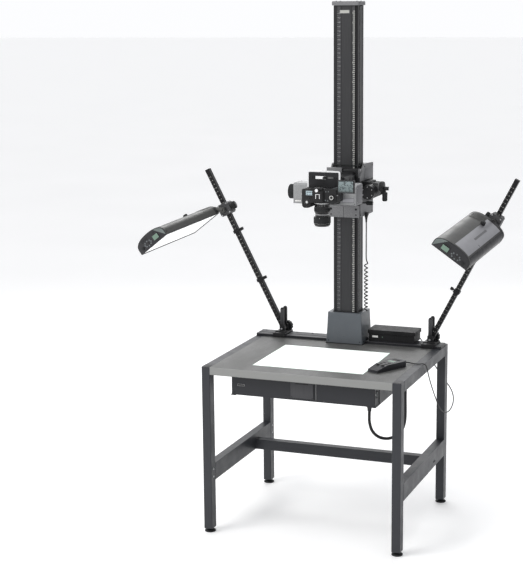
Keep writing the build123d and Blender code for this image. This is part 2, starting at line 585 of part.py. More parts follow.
# ---------------------------------------------------------------------------
# lamp arms
# ---------------------------------------------------------------------------
def make_lamp_side(side, hinge_x, lean, collars, lamp):
    """All pieces of one lamp side: rail clamp, arm, arm clamp and lamp."""
    hx = hinge_x
    # clamp on the rear rail with a tall clevis
    with BuildPart() as rail_clamp:
        block((hx - 34, hx + 34), (RAIL_Y[0] - 6, RAIL_Y[1] + 6), (TABLE_H + RAIL_T + 0.3, 801))
        block((hx - 34, hx + 34), (RAIL_Y[0] - 6, RAIL_Y[0] - 0.3), (782, 794))
        block((hx - 34, hx + 34), (RAIL_Y[1] + 0.3, RAIL_Y[1] + 6), (782, 794))
        for y0 in (HINGE_Y - 25, HINGE_Y + 15):
            block((hx - 14, hx + 14), (y0, y0 + 10), (800, 832))
            block((hx - 8, hx + 8), (y0, y0 + 10), (831, 920))
        rod(PIN_R + 0.1, "y", (HINGE_Y - 30, HINGE_Y + 30), hx, HINGE_Z, mode=Mode.SUBTRACT)
        chamfer(rail_clamp.edges().filter_by(Axis.Y).group_by(Axis.Z)[-1], 4)
    keep("rail_clamp_" + side, rail_clamp.part)

    with BuildPart() as pivot_knob:
        rod(PIN_R, "y", (HINGE_Y - 28, HINGE_Y + 28), hx, HINGE_Z)
        rod(10, "y", (HINGE_Y + 25.4, HINGE_Y + 38), hx, HINGE_Z)
        rod(28, "y", (HINGE_Y + 37, HINGE_Y + 61), hx, HINGE_Z)
        chamfer(pivot_knob.faces().sort_by(Axis.Y)[-1].edges(), 4)
        with Locations(Location((hx, HINGE_Y + 49, HINGE_Z), (90, 0, 0))):
            with PolarLocations(29, 12):
                Cylinder(4, 32, mode=Mode.SUBTRACT)
        rod(9, "y", (HINGE_Y - 32, HINGE_Y - 25.4), hx, HINGE_Z)
    keep("pivot_knob_" + side, pivot_knob.part)

    at_arm = Location((hx, HINGE_Y, HINGE_Z), (0, lean, 0))
    # arm, drawn upright with the pin at its origin
    with BuildPart() as lamp_arm:
        block((-ARM_W / 2, ARM_W / 2), (-ARM_D / 2, ARM_D / 2), (0, ARM_LEN))
        rod(ARM_W / 2, "y", (-ARM_D / 2, ARM_D / 2), 0, 0)
        block((-ARM_W / 2 + 2, ARM_W / 2 - 2), (-ARM_D / 2 + 2, ARM_D / 2 - 2), (20, ARM_LEN - 12), mode=Mode.SUBTRACT)
        rod(PIN_R + 0.1, "y", (-20, 20), 0, 0, mode=Mode.SUBTRACT)
        # stop collars with their screws
        for h in collars:
            block((-ARM_W / 2 - 4, ARM_W / 2 + 4), (-ARM_D / 2 - 4, ARM_D / 2 + 4), (h - 8, h + 8))
            inward = 1 if lean < 0 else -1
            xs = sorted((inward * 14.0, inward * 34.0))
            rod(3, "x", xs, 0, h)
            xs = sorted((inward * 20.0, inward * 34.0))
            rod(7, "x", xs, 0, h)
        block((-ARM_W / 2 + 2, ARM_W / 2 - 2), (-ARM_D / 2 + 2, ARM_D / 2 - 2), (20, ARM_LEN - 12), mode=Mode.SUBTRACT)
    keep("lamp_arm_" + side, lamp_arm.part, at_arm)

    # clamp that slides on the arm, drawn in the arm's frame
    s = 1 if lean < 0 else -1          # inward side
    g = 0.3
    with BuildPart() as arm_clamp:
        block((-30, 30), (-30, 27), (-30, 30))
        chamfer(arm_clamp.edges().filter_by(Axis.Y), 7)
        block((-ARM_W / 2 - g, ARM_W / 2 + g), (-ARM_D / 2 - g, ARM_D / 2 + g), (-40, 40), mode=Mode.SUBTRACT)
        # socket for the lamp's stud, on the front
        rod(12, "y", (-42, -26), 0, 0)
        rod(7.1, "y", (-43, -18), 0, 0, mode=Mode.SUBTRACT)
        # bolts of the split cap
        for a, b in ((-22, -22), (-22, 22), (22, -22), (22, 22)):
            rod(3.4, "y", (-33, -28), a, b)
        # threaded boss for the clamp knob
        xs = sorted((s * 28.0, s * 36.0))
        rod(11, "x", xs, 0, 0)
        xs = sorted((s * 12.0, s * 40.0))
        rod(4.1, "x", xs, 0, 0, mode=Mode.SUBTRACT)
    at_clamp = at_arm * Location((0, 0, ARM_CLAMP_AT))
    keep("arm_clamp_" + side, arm_clamp.part, at_clamp)

    with BuildPart() as clamp_knob:
        xs = sorted((s * 12.5, s * 38.0))
        rod(4, "x", xs, 0, 0)
        xs = sorted((s * 36.4, s * 52.0))
        rod(19, "x", xs, 0, 0)
        chamfer(clamp_knob.edges().filter_by(GeomType.CIRCLE).filter_by(lambda e: e.radius > 15), 2)
        with Locations(Location((s * 44.2, 0, 0), (0, 90, 0))):
            with PolarLocations(20, 10):
                Cylinder(3, 16, mode=Mode.SUBTRACT)
    keep("clamp_knob_" + side, clamp_knob.part, at_clamp)

    # lamp, drawn flat with its aperture on z = 0, looking down
    (cx, cy, cz), yaw, tilt, pitch = lamp
    at_lamp = Location((cx, cy, cz)) * Location((0, 0, 0), (0, 0, yaw)) * Location((0, 0, 0), (pitch, 0, 0)) * Location((0, 0, 0), (0, tilt, 0))
    hw, hl = LAMP_W / 2, LAMP_L / 2
    w = LAMP_WALL
    with BuildPart() as lamp_housing:
        with BuildSketch(Plane.XZ.offset(-hl)):
            with BuildLine():
                l1 = Line((-hw, 0), (-hw, 22))
                l2 = Bezier((-hw, 22), (-hw, 50), (-hw + 40, LAMP_H), (0, LAMP_H))
                l3 = Bezier((0, LAMP_H), (hw - 40, LAMP_H), (hw, 50), (hw, 22))
                l4 = Line((hw, 22), (hw, 0))
                l5 = Line((hw, 0), (-hw, 0))
            make_face()
        extrude(amount=2 * hl)
        with BuildSketch(Plane.XZ.offset(-hl + w)):
            with BuildLine():
                k1 = Line((-hw + w, -1), (-hw + w, 22))
                k2 = Bezier((-hw + w, 22), (-hw + w, 49), (-hw + 41, LAMP_H - w), (0, LAMP_H - w))
                k3 = Bezier((0, LAMP_H - w), (hw - 41, LAMP_H - w), (hw - w, 49), (hw - w, 22))
                k4 = Line((hw - w, 22), (hw - w, -1))
                k5 = Line((hw - w, -1), (-hw + w, -1))
            make_face()
        extrude(amount=2 * hl - 2 * w, mode=Mode.SUBTRACT)
        # button holes in the front end
        for x in (-48, -34, -20):
            block((x - 4.3, x + 4.3), (-hl - 1, -hl + w + 1), (38.7, 47.3), mode=Mode.SUBTRACT)
        # stud on top
        rod(9, "z", (LAMP_H - 1, LAMP_H + 16), -6, 118)
        # mounting bar across the rear end
        block((-hw + 9, hw - 9), (hl, hl + 8), (12, 40))
    shell_part = lamp_housing.part.moved(at_lamp)
    # stud into the arm clamp's socket, on the arm clamp's own axis
    px = hx + ARM_CLAMP_AT * math.sin(math.radians(lean))
    pz = HINGE_Z + ARM_CLAMP_AT * math.cos(math.radians(lean))
    with BuildPart() as lamp_stud:
        rod(7, "y", (HINGE_Y - 60, HINGE_Y - 20), px, pz)
        rod(13, "y", (HINGE_Y - 62, HINGE_Y - 43), px, pz)
    return at_lamp, shell_part, lamp_stud.part, (px, pz)


def finish_lamp(side, at_lamp, shell_part, stud, boss):
    """Join the lamp's shell to its stud and make what the lamp holds."""
    hw, hl, w = LAMP_W / 2, LAMP_L / 2, LAMP_WALL
    with BuildPart() as lamp_housing:
        add(shell_part)
        add(stud)
        for p in boss:
            add(p)
    keep("lamp_housing_" + side, lamp_housing.part)

    with BuildPart() as lamp_diffuser:
        block((-hw + w, hw - w), (-hl + w, hl - w), (0.5, 3.5))
    keep("lamp_diffuser_" + side, lamp_diffuser.part, at_lamp)

    with BuildPart() as lamp_tubes:
        for x in (-44, 44):
            rod(8, "y", (-205, 205), x, 24)
            for s in (-1, 1):
                ys = sorted((s * 205.0, s * (hl - w)))
                block((x - 11, x + 11), ys, (12, 36))
    keep("lamp_tubes_" + side, lamp_tubes.part, at_lamp)

    with BuildPart() as lamp_buttons:
        for x in (-48, -34, -20):
            block((x - 4, x + 4), (-hl - 2, -hl + 4), (39, 47))
        # carrier strip behind the end wall, leaving the travel free
        block((-54, -14), (-hl + 4, -hl + 6), (37, 49))
    keep("lamp_buttons_" + side, lamp_buttons.part, at_lamp)


def boss_between(p, q, r):
    """A short round bar between two points."""
    v = Vector(*q) - Vector(*p)
    with BuildPart() as b:
        with BuildSketch(Plane(origin=p, z_dir=v)):
            Circle(r)
        extrude(amount=v.length)
    return b.part


left = make_lamp_side("left", HINGE_X_LEFT, -ARM_LEAN, (263, 527), LAMP_LEFT)
at_lamp, shell_part, stud, (px, pz) = left
# the left lamp hangs from the inner end of its bar
root_pt = at_lamp.position + (Plane(at_lamp).from_local_coords(Vector(74, LAMP_L / 2 + 2, 34)) - Plane(at_lamp).origin)
finish_lamp("left", at_lamp, shell_part, stud,
            [boss_between((px, HINGE_Y - 56, pz), tuple(root_pt), 12)])

right = make_lamp_side("right", HINGE_X_RIGHT, ARM_LEAN, (263,), LAMP_RIGHT)
at_lamp, shell_part, stud, (px, pz) = right
root_pt = at_lamp.position + (Plane(at_lamp).from_local_coords(Vector(14, LAMP_L / 2 + 2, 34)) - Plane(at_lamp).origin)
finish_lamp("right", at_lamp, shell_part, stud,
            [boss_between((px, HINGE_Y - 56, pz), tuple(root_pt), 12)])

# ---------------------------------------------------------------------------
# hand control
# ---------------------------------------------------------------------------
HS_AT = Location((330.0, -166.0, TABLE_H), (0, 0, 66 - 90))
HS_L, HS_W0, HS_W1, HS_H = 188.0, 56.0, 80.0, 27.0
BUTTONS = [(x, y) for y in (-42, -20, 2) for x in (-14, 14)]
with BuildPart() as handset:
    with BuildSketch(Plane.XY):
        with BuildLine():
            Polyline((-HS_W0 / 2, -HS_L / 2), (HS_W0 / 2, -HS_L / 2), (HS_W1 / 2, HS_L / 2 - 20),
                     (HS_W1 / 2 - 6, HS_L / 2), (-HS_W1 / 2 + 6, HS_L / 2), (-HS_W1 / 2, HS_L / 2 - 20), close=True)
        make_face()
    extrude(amount=HS_H)
    # the nose slopes down to the front
    with BuildSketch(Plane.YZ.offset(-60)):
        with BuildLine():
            Polyline((-HS_L / 2 - 1, 12), (-HS_L / 2 + 62, HS_H), (-HS_L / 2 + 62, HS_H + 5), (-HS_L / 2 - 1, HS_H + 5), close=True)
        make_face()
    extrude(amount=120, mode=Mode.SUBTRACT)
    for bx, by in BUTTONS:
        rod(6.3, "z", (HS_H - 6, HS_H + 1), bx, by, mode=Mode.SUBTRACT)
keep("handset", handset.part, HS_AT)

with BuildPart() as handset_buttons:
    for bx, by in BUTTONS:
        rod(6.0, "z", (HS_H - 3.5, HS_H + 2.2), bx, by)
keep("handset_buttons", handset_buttons.part, HS_AT)


# ---------------------------------------------------------------------------
# cords
# ---------------------------------------------------------------------------
def corner_radii(points, closest):
    """The largest arc that each corner's runs allow."""
    out = []
    for i in range(1, len(points) - 1):
        a, b, c = Vector(*points[i - 1]), Vector(*points[i]), Vector(*points[i + 1])
        turn = math.radians((b - a).get_angle(c - b))
        run = min((b - a).length, (c - b).length)
        r = 0.45 * run / math.tan(turn / 2)
        out.append(r)
        if r < closest:
            print("tight corner", i, points[i], round(r, 1))
    return out


def cord_tube(name, points, dia):
    """A round cord along a route of straight runs joined by arcs."""
    radii = corner_radii(points, 5 * dia)
    with BuildPart() as cord:
        with BuildLine() as route:
            FilletPolyline(*points, radius=radii)
        start = Plane(origin=route.line @ 0, z_dir=route.line % 0)
        with BuildSketch(start):
            Circle(dia / 2)
        sweep(path=route.line)
    length = sum(e.length for e in route.edges())
    want = math.pi * dia * dia / 4 * length
    print(name, "length", round(length, 1), "volume ratio", round(cord.part.volume / want, 4),
          "radii", [round(r) for r in radii])
    keep(name, cord.part)


# heavy cable from the light box, in a loop to the underside of the right rail
cord_tube("lightbox_cable", [
    (302, -330, 625.7), (301.5, -331, 602), (302, -330, 575), (311.3, -324.7, 534.9), (336.7, -310, 505.5),
    (371.5, -290, 494.8), (406.3, -270, 505.5), (431.7, -255.3, 534.9), (441, -250, 575), (441.6, -249, 620),
    (440.6, -249.5, 676), (441, -250, 730.8)], LIGHT_CABLE_D)

cord_tube("handset_cord", [
    (375.7, -83.1, 793), (383, -66, 792), (397, -53, 788), (416, -49, 784.3), (436, -54, 784.2), (452, -53, 784.8),
    (464, -45, 785.6), (474, -32, 777), (475, -15, 757), (473, 13, 724), (472, 49, 683), (472, 92, 636), (473, 140, 586),
    (474, 190, 537), (475, 240, 496), (478, 292, 470), (482, 346, 458), (486, 396, 464), (487, 436, 486), (482, 450, 518),
    (470, 446, 550), (450, 438, 581), (425, 432, 615), (398, 430, 655), (372, 430, 700), (348, 430, 746), (326, 428, 784),
    (310, 418, 806), (303, 396, 813)], HANDSET_CORD_D)

with BuildPart() as column_lead:
    rod(LEAD_D / 2, "z", (COIL_Z[1], GLAND_END_Z), LEAD_X, LEAD_Y)
keep("column_lead", column_lead.part)

with BuildPart() as column_coil:
    rod(COIL_D / 2, "z", COIL_Z, LEAD_X, LEAD_Y)
keep("column_coil", column_coil.part)

print("extent without free cords", [round(v, 2) for v in extent])
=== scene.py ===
import math
import random

import bmesh
import bpy
from mathutils import Matrix, Vector


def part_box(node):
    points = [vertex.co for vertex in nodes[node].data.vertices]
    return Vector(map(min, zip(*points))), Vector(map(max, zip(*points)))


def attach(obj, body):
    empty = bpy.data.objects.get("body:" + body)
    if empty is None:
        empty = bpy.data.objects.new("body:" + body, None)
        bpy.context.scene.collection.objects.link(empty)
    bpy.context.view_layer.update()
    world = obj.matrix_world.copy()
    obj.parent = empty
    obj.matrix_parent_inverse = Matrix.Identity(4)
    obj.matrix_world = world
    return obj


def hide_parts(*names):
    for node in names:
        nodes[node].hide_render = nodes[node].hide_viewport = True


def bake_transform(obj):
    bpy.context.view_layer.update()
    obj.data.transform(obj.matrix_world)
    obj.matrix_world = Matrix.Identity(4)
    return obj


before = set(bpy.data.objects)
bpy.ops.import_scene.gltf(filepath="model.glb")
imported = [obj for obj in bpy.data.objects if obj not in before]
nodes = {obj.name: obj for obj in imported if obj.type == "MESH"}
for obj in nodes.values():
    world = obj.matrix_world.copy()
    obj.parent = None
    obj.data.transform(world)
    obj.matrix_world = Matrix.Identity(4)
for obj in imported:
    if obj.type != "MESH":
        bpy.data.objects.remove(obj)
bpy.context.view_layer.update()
random.seed(7)

# the drawing's own coordinates (mm, from the middle of the table) to the row frame
g_lo, g_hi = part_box("glass_panel")
OX = (g_lo.x + g_hi.x) / 2
OY = (g_lo.y + g_hi.y) / 2 + 0.084
SHIFT = Matrix.Translation((OX, OY, 0)) @ Matrix.Scale(0.001, 4)


def V(x, y, z):
    """Drawing millimetres to row-frame metres."""
    return SHIFT @ Vector((x, y, z))


# --------------------------------------------------------------------------
# camera, lights, floor
# --------------------------------------------------------------------------
yaw, pitch, roll = math.radians(21.4747), math.radians(-10.7367), math.radians(-0.5684)
d = Vector((-math.sin(yaw) * math.cos(pitch), math.cos(yaw) * math.cos(pitch), math.sin(pitch)))
r2 = Vector((0.93120, 0.36437, -0.00975))
r2 = (r2 - d * r2.dot(d)).normalized()
u2 = r2.cross(d).normalized()
cam_data = bpy.data.cameras.new("camera")
cam_data.lens = 94.085
cam_data.sensor_width = 36
cam_data.sensor_fit = "AUTO"
cam_data.clip_end = 200
cam = bpy.data.objects.new("camera", cam_data)
bpy.context.scene.collection.objects.link(cam)
m = Matrix((r2, u2, -d)).transposed().to_4x4()
m.translation = V(2148.8, -6296.4, 2383.4)
cam.matrix_world = m
bpy.context.scene.camera = cam


def area(name, loc, target, size, energy, colour=(1, 1, 1)):
    li = bpy.data.lights.new(name, "AREA")
    li.shape = "RECTANGLE"
    li.size, li.size_y = size
    li.energy = energy
    li.color = colour
    o = bpy.data.objects.new(name, li)
    bpy.context.scene.collection.objects.link(o)
    o.location = loc
    o.rotation_euler = (Vector(target) - Vector(loc)).to_track_quat("-Z", "Y").to_euler()
    return o


area("key", (-2.6, -3.4, 4.6), (0.1, 0, 1.2), (2.6, 2.0), 120, (1, 0.99, 0.97))
area("fill", (4.2, -2.6, 2.6), (0, 0, 1.1), (2.0, 2.6), 14, (0.96, 0.98, 1))
area("rim", (-1.2, 3.6, 3.6), (0, 0.2, 1.3), (3.0, 1.6), 60)
area("top", (0.4, -0.2, 5.4), (0, 0, 0.8), (3.4, 3.0), 30)
world = bpy.data.worlds.new("studio")
bpy.context.scene.world = world
world.use_nodes = True
bg = world.node_tree.nodes["Background"]
wt = world.node_tree
wco = wt.nodes.new("ShaderNodeTexCoord")
wsep = wt.nodes.new("ShaderNodeSeparateXYZ")
wt.links.new(wco.outputs["Generated"], wsep.inputs[0])
wmap = wt.nodes.new("ShaderNodeMapRange")
wmap.inputs["From Min"].default_value = 0.15
wmap.inputs["From Max"].default_value = 0.75
wt.links.new(wsep.outputs[0], wmap.inputs["Value"])
wmix = wt.nodes.new("ShaderNodeMix")
wmix.data_type = "RGBA"
wmix.inputs[6].default_value = (0.98, 0.985, 1.0, 1)
wmix.inputs[7].default_value = (0.16, 0.165, 0.18, 1)
wt.links.new(wmap.outputs["Result"], wmix.inputs[0])
wt.links.new(wmix.outputs[2], bg.inputs[0])
bg.inputs[1].default_value = 1.0
vs = bpy.context.scene.view_settings
vs.view_transform = "Standard"
vs.look = "None"
vs.exposure = 0.0


# --------------------------------------------------------------------------
# materials
# --------------------------------------------------------------------------
class Nodes:
    def __init__(self, name):
        self.mat = bpy.data.materials.new(name)
        self.mat.use_nodes = True
        self.t = self.mat.node_tree
        self.b = self.t.nodes["Principled BSDF"]
        self.co = self.t.nodes.new("ShaderNodeTexCoord").outputs["Object"]

    def new(self, kind, **props):
        n = self.t.nodes.new(kind)
        for k, v in props.items():
            setattr(n, k, v)
        return n

    def link(self, a, b):
        self.t.links.new(a, b)

    def scaled(self, s):
        mp = self.new("ShaderNodeMapping")
        mp.inputs["Scale"].default_value = s
        self.link(self.co, mp.inputs["Vector"])
        return mp.outputs["Vector"]

    def noise(self, scale, detail=3, rough=0.5, stretch=None, dist=0.0):
        n = self.new("ShaderNodeTexNoise")
        n.inputs["Scale"].default_value = scale
        n.inputs["Detail"].default_value = detail
        n.inputs["Roughness"].default_value = rough
        n.inputs["Distortion"].default_value = dist
        self.link(self.scaled(stretch) if stretch else self.co, n.inputs["Vector"])
        return n.outputs["Fac"]

    def voronoi(self, scale, stretch=None):
        n = self.new("ShaderNodeTexVoronoi")
        n.inputs["Scale"].default_value = scale
        self.link(self.scaled(stretch) if stretch else self.co, n.inputs["Vector"])
        return n.outputs["Distance"]

    def remap(self, v, a, b, c, e):
        n = self.new("ShaderNodeMapRange")
        n.inputs["From Min"].default_value = a
        n.inputs["From Max"].default_value = b
        n.inputs["To Min"].default_value = c
        n.inputs["To Max"].default_value = e
        self.link(v, n.inputs["Value"])
        return n.outputs["Result"]

    def mix(self, fac, a, b):
        n = self.new("ShaderNodeMix", data_type="RGBA")
        if isinstance(fac, (int, float)):
            n.inputs[0].default_value = fac
        else:
            self.link(fac, n.inputs[0])
        for v, s in ((a, n.inputs[6]), (b, n.inputs[7])):
            if isinstance(v, tuple):
                s.default_value = (*v, 1)
            else:
                self.link(v, s)
        return n.outputs[2]

    def maths(self, op, a, b=0.0):
        n = self.new("ShaderNodeMath", operation=op)
        for v, s in ((a, n.inputs[0]), (b, n.inputs[1])):
            if isinstance(v, (int, float)):
                s.default_value = v
            else:
                self.link(v, s)
        return n.outputs[0]

    def axis(self, k):
        n = self.new("ShaderNodeSeparateXYZ")
        self.link(self.co, n.inputs[0])
        return n.outputs[k]

    def inside(self, x=None, y=None, z=None):
        """1 inside a box given in drawing millimetres, else 0."""
        out = None
        for k, rng in enumerate((x, y, z)):
            if rng is None:
                continue
            off = (OX, OY, 0)[k]
            v = self.axis(k)
            p = self.maths("GREATER_THAN", v, rng[0] / 1000 + off)
            q = self.maths("LESS_THAN", v, rng[1] / 1000 + off)
            r = self.maths("MULTIPLY", p, q)
            out = r if out is None else self.maths("MULTIPLY", out, r)
        return out

    def bump(self, height, strength, dist=0.001, after=None):
        n = self.new("ShaderNodeBump")
        n.inputs["Strength"].default_value = strength
        n.inputs["Distance"].default_value = dist
        self.link(height, n.inputs["Height"])
        if after is not None:
            self.link(after, n.inputs["Normal"])
        return n.outputs["Normal"]


def finish_mat(n, colour, rough, metallic=0.0, normal=None, coat=0.0, coat_rough=0.2, spec=0.32):
    n.link(colour, n.b.inputs["Base Color"]) if not isinstance(colour, tuple) else None
    if isinstance(colour, tuple):
        n.b.inputs["Base Color"].default_value = (*colour, 1)
    if isinstance(rough, (int, float)):
        n.b.inputs["Roughness"].default_value = rough
    else:
        n.link(rough, n.b.inputs["Roughness"])
    n.b.inputs["Metallic"].default_value = metallic
    n.b.inputs["Coat Weight"].default_value = coat
    n.b.inputs["Coat Roughness"].default_value = coat_rough
    n.b.inputs["Specular IOR Level"].default_value = spec
    if normal is not None:
        n.link(normal, n.b.inputs["Normal"])
    return n.mat


def paint(name, c, rough=0.42, grain=1500, grain_amount=0.15, var=0.12, metallic=0.0, coat=0.0, wear=0.0, scratch=0.0):
    """Lacquer or powder coat: fine orange-peel grain, cloudy tone, dusty roughness and a few rubbed spots."""
    n = Nodes(name)
    cloud = n.noise(3.5, 4, 0.6)
    mottle = n.noise(38, 5, 0.65)
    lo = tuple(x * (1 - var) for x in c)
    hi = tuple(min(1, x * (1 + var)) for x in c)
    col = n.mix(n.remap(cloud, 0.35, 0.65, 0, 1), lo, hi)
    col = n.mix(n.remap(mottle, 0.3, 0.7, 0, 0.35), col, tuple(x * 0.8 for x in c))
    if wear:
        spots = n.remap(n.noise(120, 6, 0.75), 0.66, 0.74, 0, wear)
        col = n.mix(spots, col, tuple(min(1, x * 2.4 + 0.05) for x in c))
    if scratch:
        lines = n.remap(n.noise(260, 2, 0.5, stretch=(1, 0.04, 1)), 0.68, 0.72, 0, scratch)
        col = n.mix(lines, col, tuple(min(1, x * 1.8 + 0.03) for x in c))
    ro = n.remap(n.noise(14, 4, 0.6), 0.3, 0.7, rough - 0.07, rough + 0.09)
    nb = n.bump(n.noise(grain, 2, 0.5), grain_amount, 0.0006)
    return finish_mat(n, col, ro, metallic, nb, coat)


def hammered(name, c, rough=0.5):
    """Hammer-finish or sand-cast grey lacquer."""
    n = Nodes(name)
    v = n.voronoi(420)
    v2 = n.noise(900, 3, 0.6)
    col = n.mix(n.remap(v, 0.0, 0.6, 0, 1), tuple(x * 1.18 for x in c), tuple(x * 0.72 for x in c))
    col = n.mix(n.remap(n.noise(6, 4, 0.6), 0.35, 0.65, 0, 0.4), col, tuple(x * 0.8 for x in c))
    nb = n.bump(v, 0.35, 0.0008)
    nb = n.bump(v2, 0.2, 0.0004, nb)
    return finish_mat(n, col, n.remap(v2, 0.3, 0.7, rough - 0.08, rough + 0.1), 0.25, nb)


def metal(name, c, rough=0.35, stretch=(1, 1, 0.02), amount=0.3, metallic=0.9):
    """Brushed or extruded metal with fine drawing lines."""
    n = Nodes(name)
    lines = n.noise(900, 3, 0.6, stretch=stretch)
    cloud = n.noise(5, 3, 0.5)
    col = n.mix(n.remap(lines, 0.3, 0.7, 0, 1), tuple(x * 0.85 for x in c), tuple(min(1, x * 1.15) for x in c))
    col = n.mix(n.remap(cloud, 0.3, 0.7, 0, 0.3), col, tuple(x * 0.8 for x in c))
    return finish_mat(n, col, n.remap(lines, 0.3, 0.7, rough - 0.08, rough + 0.1), metallic, n.bump(lines, amount, 0.0004))


def plastic(name, c, rough=0.45, grain=1200, amount=0.25, coat=0.0):
    """Moulded plastic with a fine leathery grain and handling marks."""
    n = Nodes(name)
    v = n.voronoi(grain)
    col = n.mix(n.remap(n.noise(12, 5, 0.6), 0.35, 0.65, 0, 1), tuple(x * 0.8 for x in c), tuple(min(1, x * 1.25) for x in c))
    ro = n.remap(n.noise(40, 5, 0.7), 0.3, 0.7, rough - 0.08, rough + 0.12)
    return finish_mat(n, col, ro, 0.0, n.bump(v, amount, 0.0004), coat)


def glow(name, c, strength, rough=0.4):
    n = Nodes(name)
    col = n.mix(n.remap(n.noise(30, 3, 0.5), 0.3, 0.7, 0, 1), c, tuple(x * 0.95 for x in c))
    mt = finish_mat(n, col, rough, 0.0, n.bump(n.noise(700, 2), 0.05, 0.0003))
    n.link(col, n.b.inputs["Emission Color"])
    n.b.inputs["Emission Strength"].default_value = strength
    return mt


M = {}
M["frame"] = paint("frame_paint", (0.030, 0.032, 0.037), 0.40, 1400, 0.10, 0.10, wear=0.12)
M["box"] = paint("box_paint", (0.021, 0.022, 0.026), 0.42, 1500, 0.10, 0.10, wear=0.06)
M["cover"] = paint("cover_paint", (0.095, 0.106, 0.118), 0.34, 1200, 0.08, 0.08)
M["shell"] = paint("lamp_shell_paint", (0.070, 0.070, 0.067), 0.42, 1100, 0.10, 0.10, metallic=0.2)
M["end_dark"] = plastic("lamp_end_dark", (0.020, 0.020, 0.022), 0.42, 1000, 0.2)
M["end_grey"] = plastic("lamp_end_grey", (0.13, 0.15, 0.145), 0.42, 1000, 0.2)
M["lid"] = plastic("lid_plastic", (0.012, 0.012, 0.013), 0.52, 900, 0.3)
M["lid"].node_tree.nodes["Principled BSDF"].inputs["Specular IOR Level"].default_value = 0.18
M["tick"] = paint("scale_tick", (0.42, 0.42, 0.39), 0.5, 900, 0.05, 0.12)
M["cast"] = hammered("cast_lacquer", (0.36, 0.365, 0.37))
M["cast_mid"] = hammered("cast_mid_lacquer", (0.21, 0.21, 0.218))
M["clamp"] = hammered("clamp_lacquer", (0.085, 0.085, 0.088))
M["cast_dark"] = paint("cast_dark_lacquer", (0.013, 0.013, 0.014), 0.40, 900, 0.25, 0.15)
M["anod"] = metal("anodised_dark", (0.062, 0.062, 0.066), 0.42, metallic=0.55)
M["arm"] = metal("arm_black", (0.012, 0.012, 0.013), 0.38, stretch=(1, 1, 0.05), metallic=0.5)
M["bright"] = metal("bright_alloy", (0.82, 0.82, 0.83), 0.3, stretch=(1, 1, 1), amount=0.1, metallic=0.25)
M["steel"] = metal("steel", (0.52, 0.52, 0.54), 0.30, stretch=(0.05, 1, 1), amount=0.15)
M["black"] = plastic("black_plastic", (0.008, 0.008, 0.009), 0.42)
M["black_gloss"] = plastic("black_gloss_plastic", (0.006, 0.006, 0.0065), 0.22, 600, 0.05, coat=0.3)
M["grip"] = plastic("camera_grip_rubber", (0.007, 0.007, 0.0075), 0.6, 800, 0.8)
M["rubber"] = plastic("knob_rubber", (0.010, 0.011, 0.012), 0.55, 1500, 0.2)
M["handset"] = plastic("handset_plastic", (0.026, 0.026, 0.030), 0.45, 900, 0.35)
M["cord"] = plastic("cord_sheath", (0.009, 0.009, 0.010), 0.48, 2000, 0.2)
M["grey_key"] = plastic("grey_key", (0.11, 0.12, 0.125), 0.5)
M["red_key"] = plastic("red_key", (0.25, 0.03, 0.025), 0.4)
M["white_mark"] = paint("white_marking", (0.72, 0.72, 0.70), 0.5, 900, 0.05, 0.08)
M["grey_mark"] = paint("grey_marking", (0.33, 0.33, 0.33), 0.5, 900, 0.05, 0.15)
M["label"] = paint("blank_label", (0.78, 0.78, 0.76), 0.45, 900, 0.04, 0.05)
M["dark_gap"] = paint("dark_gap", (0.008, 0.008, 0.009), 0.7, 800, 0.1, 0.1)
M["gasket"] = plastic("gasket_rubber", (0.012, 0.013, 0.013), 0.6, 1600, 0.2)
M["silver"] = paint("silver_panel", (0.36, 0.36, 0.38), 0.34, 1300, 0.08, 0.05, metallic=0.6)
M["seat"] = metal("zinc_screw", (0.46, 0.46, 0.47), 0.32, stretch=(1, 1, 1), amount=0.1)
M["black_screw"] = metal("black_screw", (0.03, 0.03, 0.032), 0.35, stretch=(1, 1, 1), amount=0.1, metallic=0.7)
M["diffuser"] = glow("lamp_diffuser_opal", (0.95, 0.955, 0.95), 0.35)
M["tube"] = glow("tube_phosphor", (0.95, 0.96, 0.97), 0.8)
M["lcd"] = glow("lcd_green", (0.14, 0.21, 0.165), 0.12, 0.2)
M["lcd_blue"] = glow("lcd_pale", (0.36, 0.45, 0.49), 0.12, 0.2)


def make_table():
    n = Nodes("table_powder_coat")
    c = (0.106, 0.107, 0.104)
    speck = n.voronoi(900)
    cloud = n.noise(2.2, 4, 0.55)
    smear = n.noise(7, 5, 0.65, stretch=(1, 0.35, 1))
    col = n.mix(n.remap(speck, 0.1, 0.6, 0, 1), tuple(x * 1.12 for x in c), tuple(x * 0.88 for x in c))
    col = n.mix(n.remap(cloud, 0.35, 0.65, 0, 0.35), col, tuple(x * 0.78 for x in c))
    # the folded front edge is paler where hands have polished it
    front = n.inside(y=(-402, -398.2))
    col = n.mix(n.maths("MULTIPLY", front, 0.85), col, tuple(x * 2.6 for x in c))
    ro = n.remap(smear, 0.3, 0.7, 0.36, 0.55)
    nb = n.bump(speck, 0.25, 0.0005)
    return finish_mat(n, col, ro, 0.1, nb)


def make_panel():
    n = Nodes("opal_light_panel")
    edge = n.maths("SUBTRACT", 1.0, n.inside(x=(-256.5, 256.5), y=(-290.5, 122.5)))
    left = n.remap(n.axis(0), (-262 / 1000) + OX, (-235 / 1000) + OX, 1, 0)
    haze = n.noise(4, 3, 0.5)
    col = n.mix(n.remap(haze, 0.3, 0.7, 0, 1), (0.93, 0.945, 0.94), (0.90, 0.925, 0.915))
    col = n.mix(n.maths("MULTIPLY", edge, 0.8), col, (0.62, 0.80, 0.70))
    col = n.mix(n.maths("MULTIPLY", left, 0.25), col, (0.80, 0.90, 0.74))
    mt = finish_mat(n, col, 0.16, 0.0, n.bump(n.noise(900, 2), 0.03, 0.0003), coat=0.4)
    n.link(col, n.b.inputs["Emission Color"])
    n.b.inputs["Emission Strength"].default_value = 0.55
    return mt


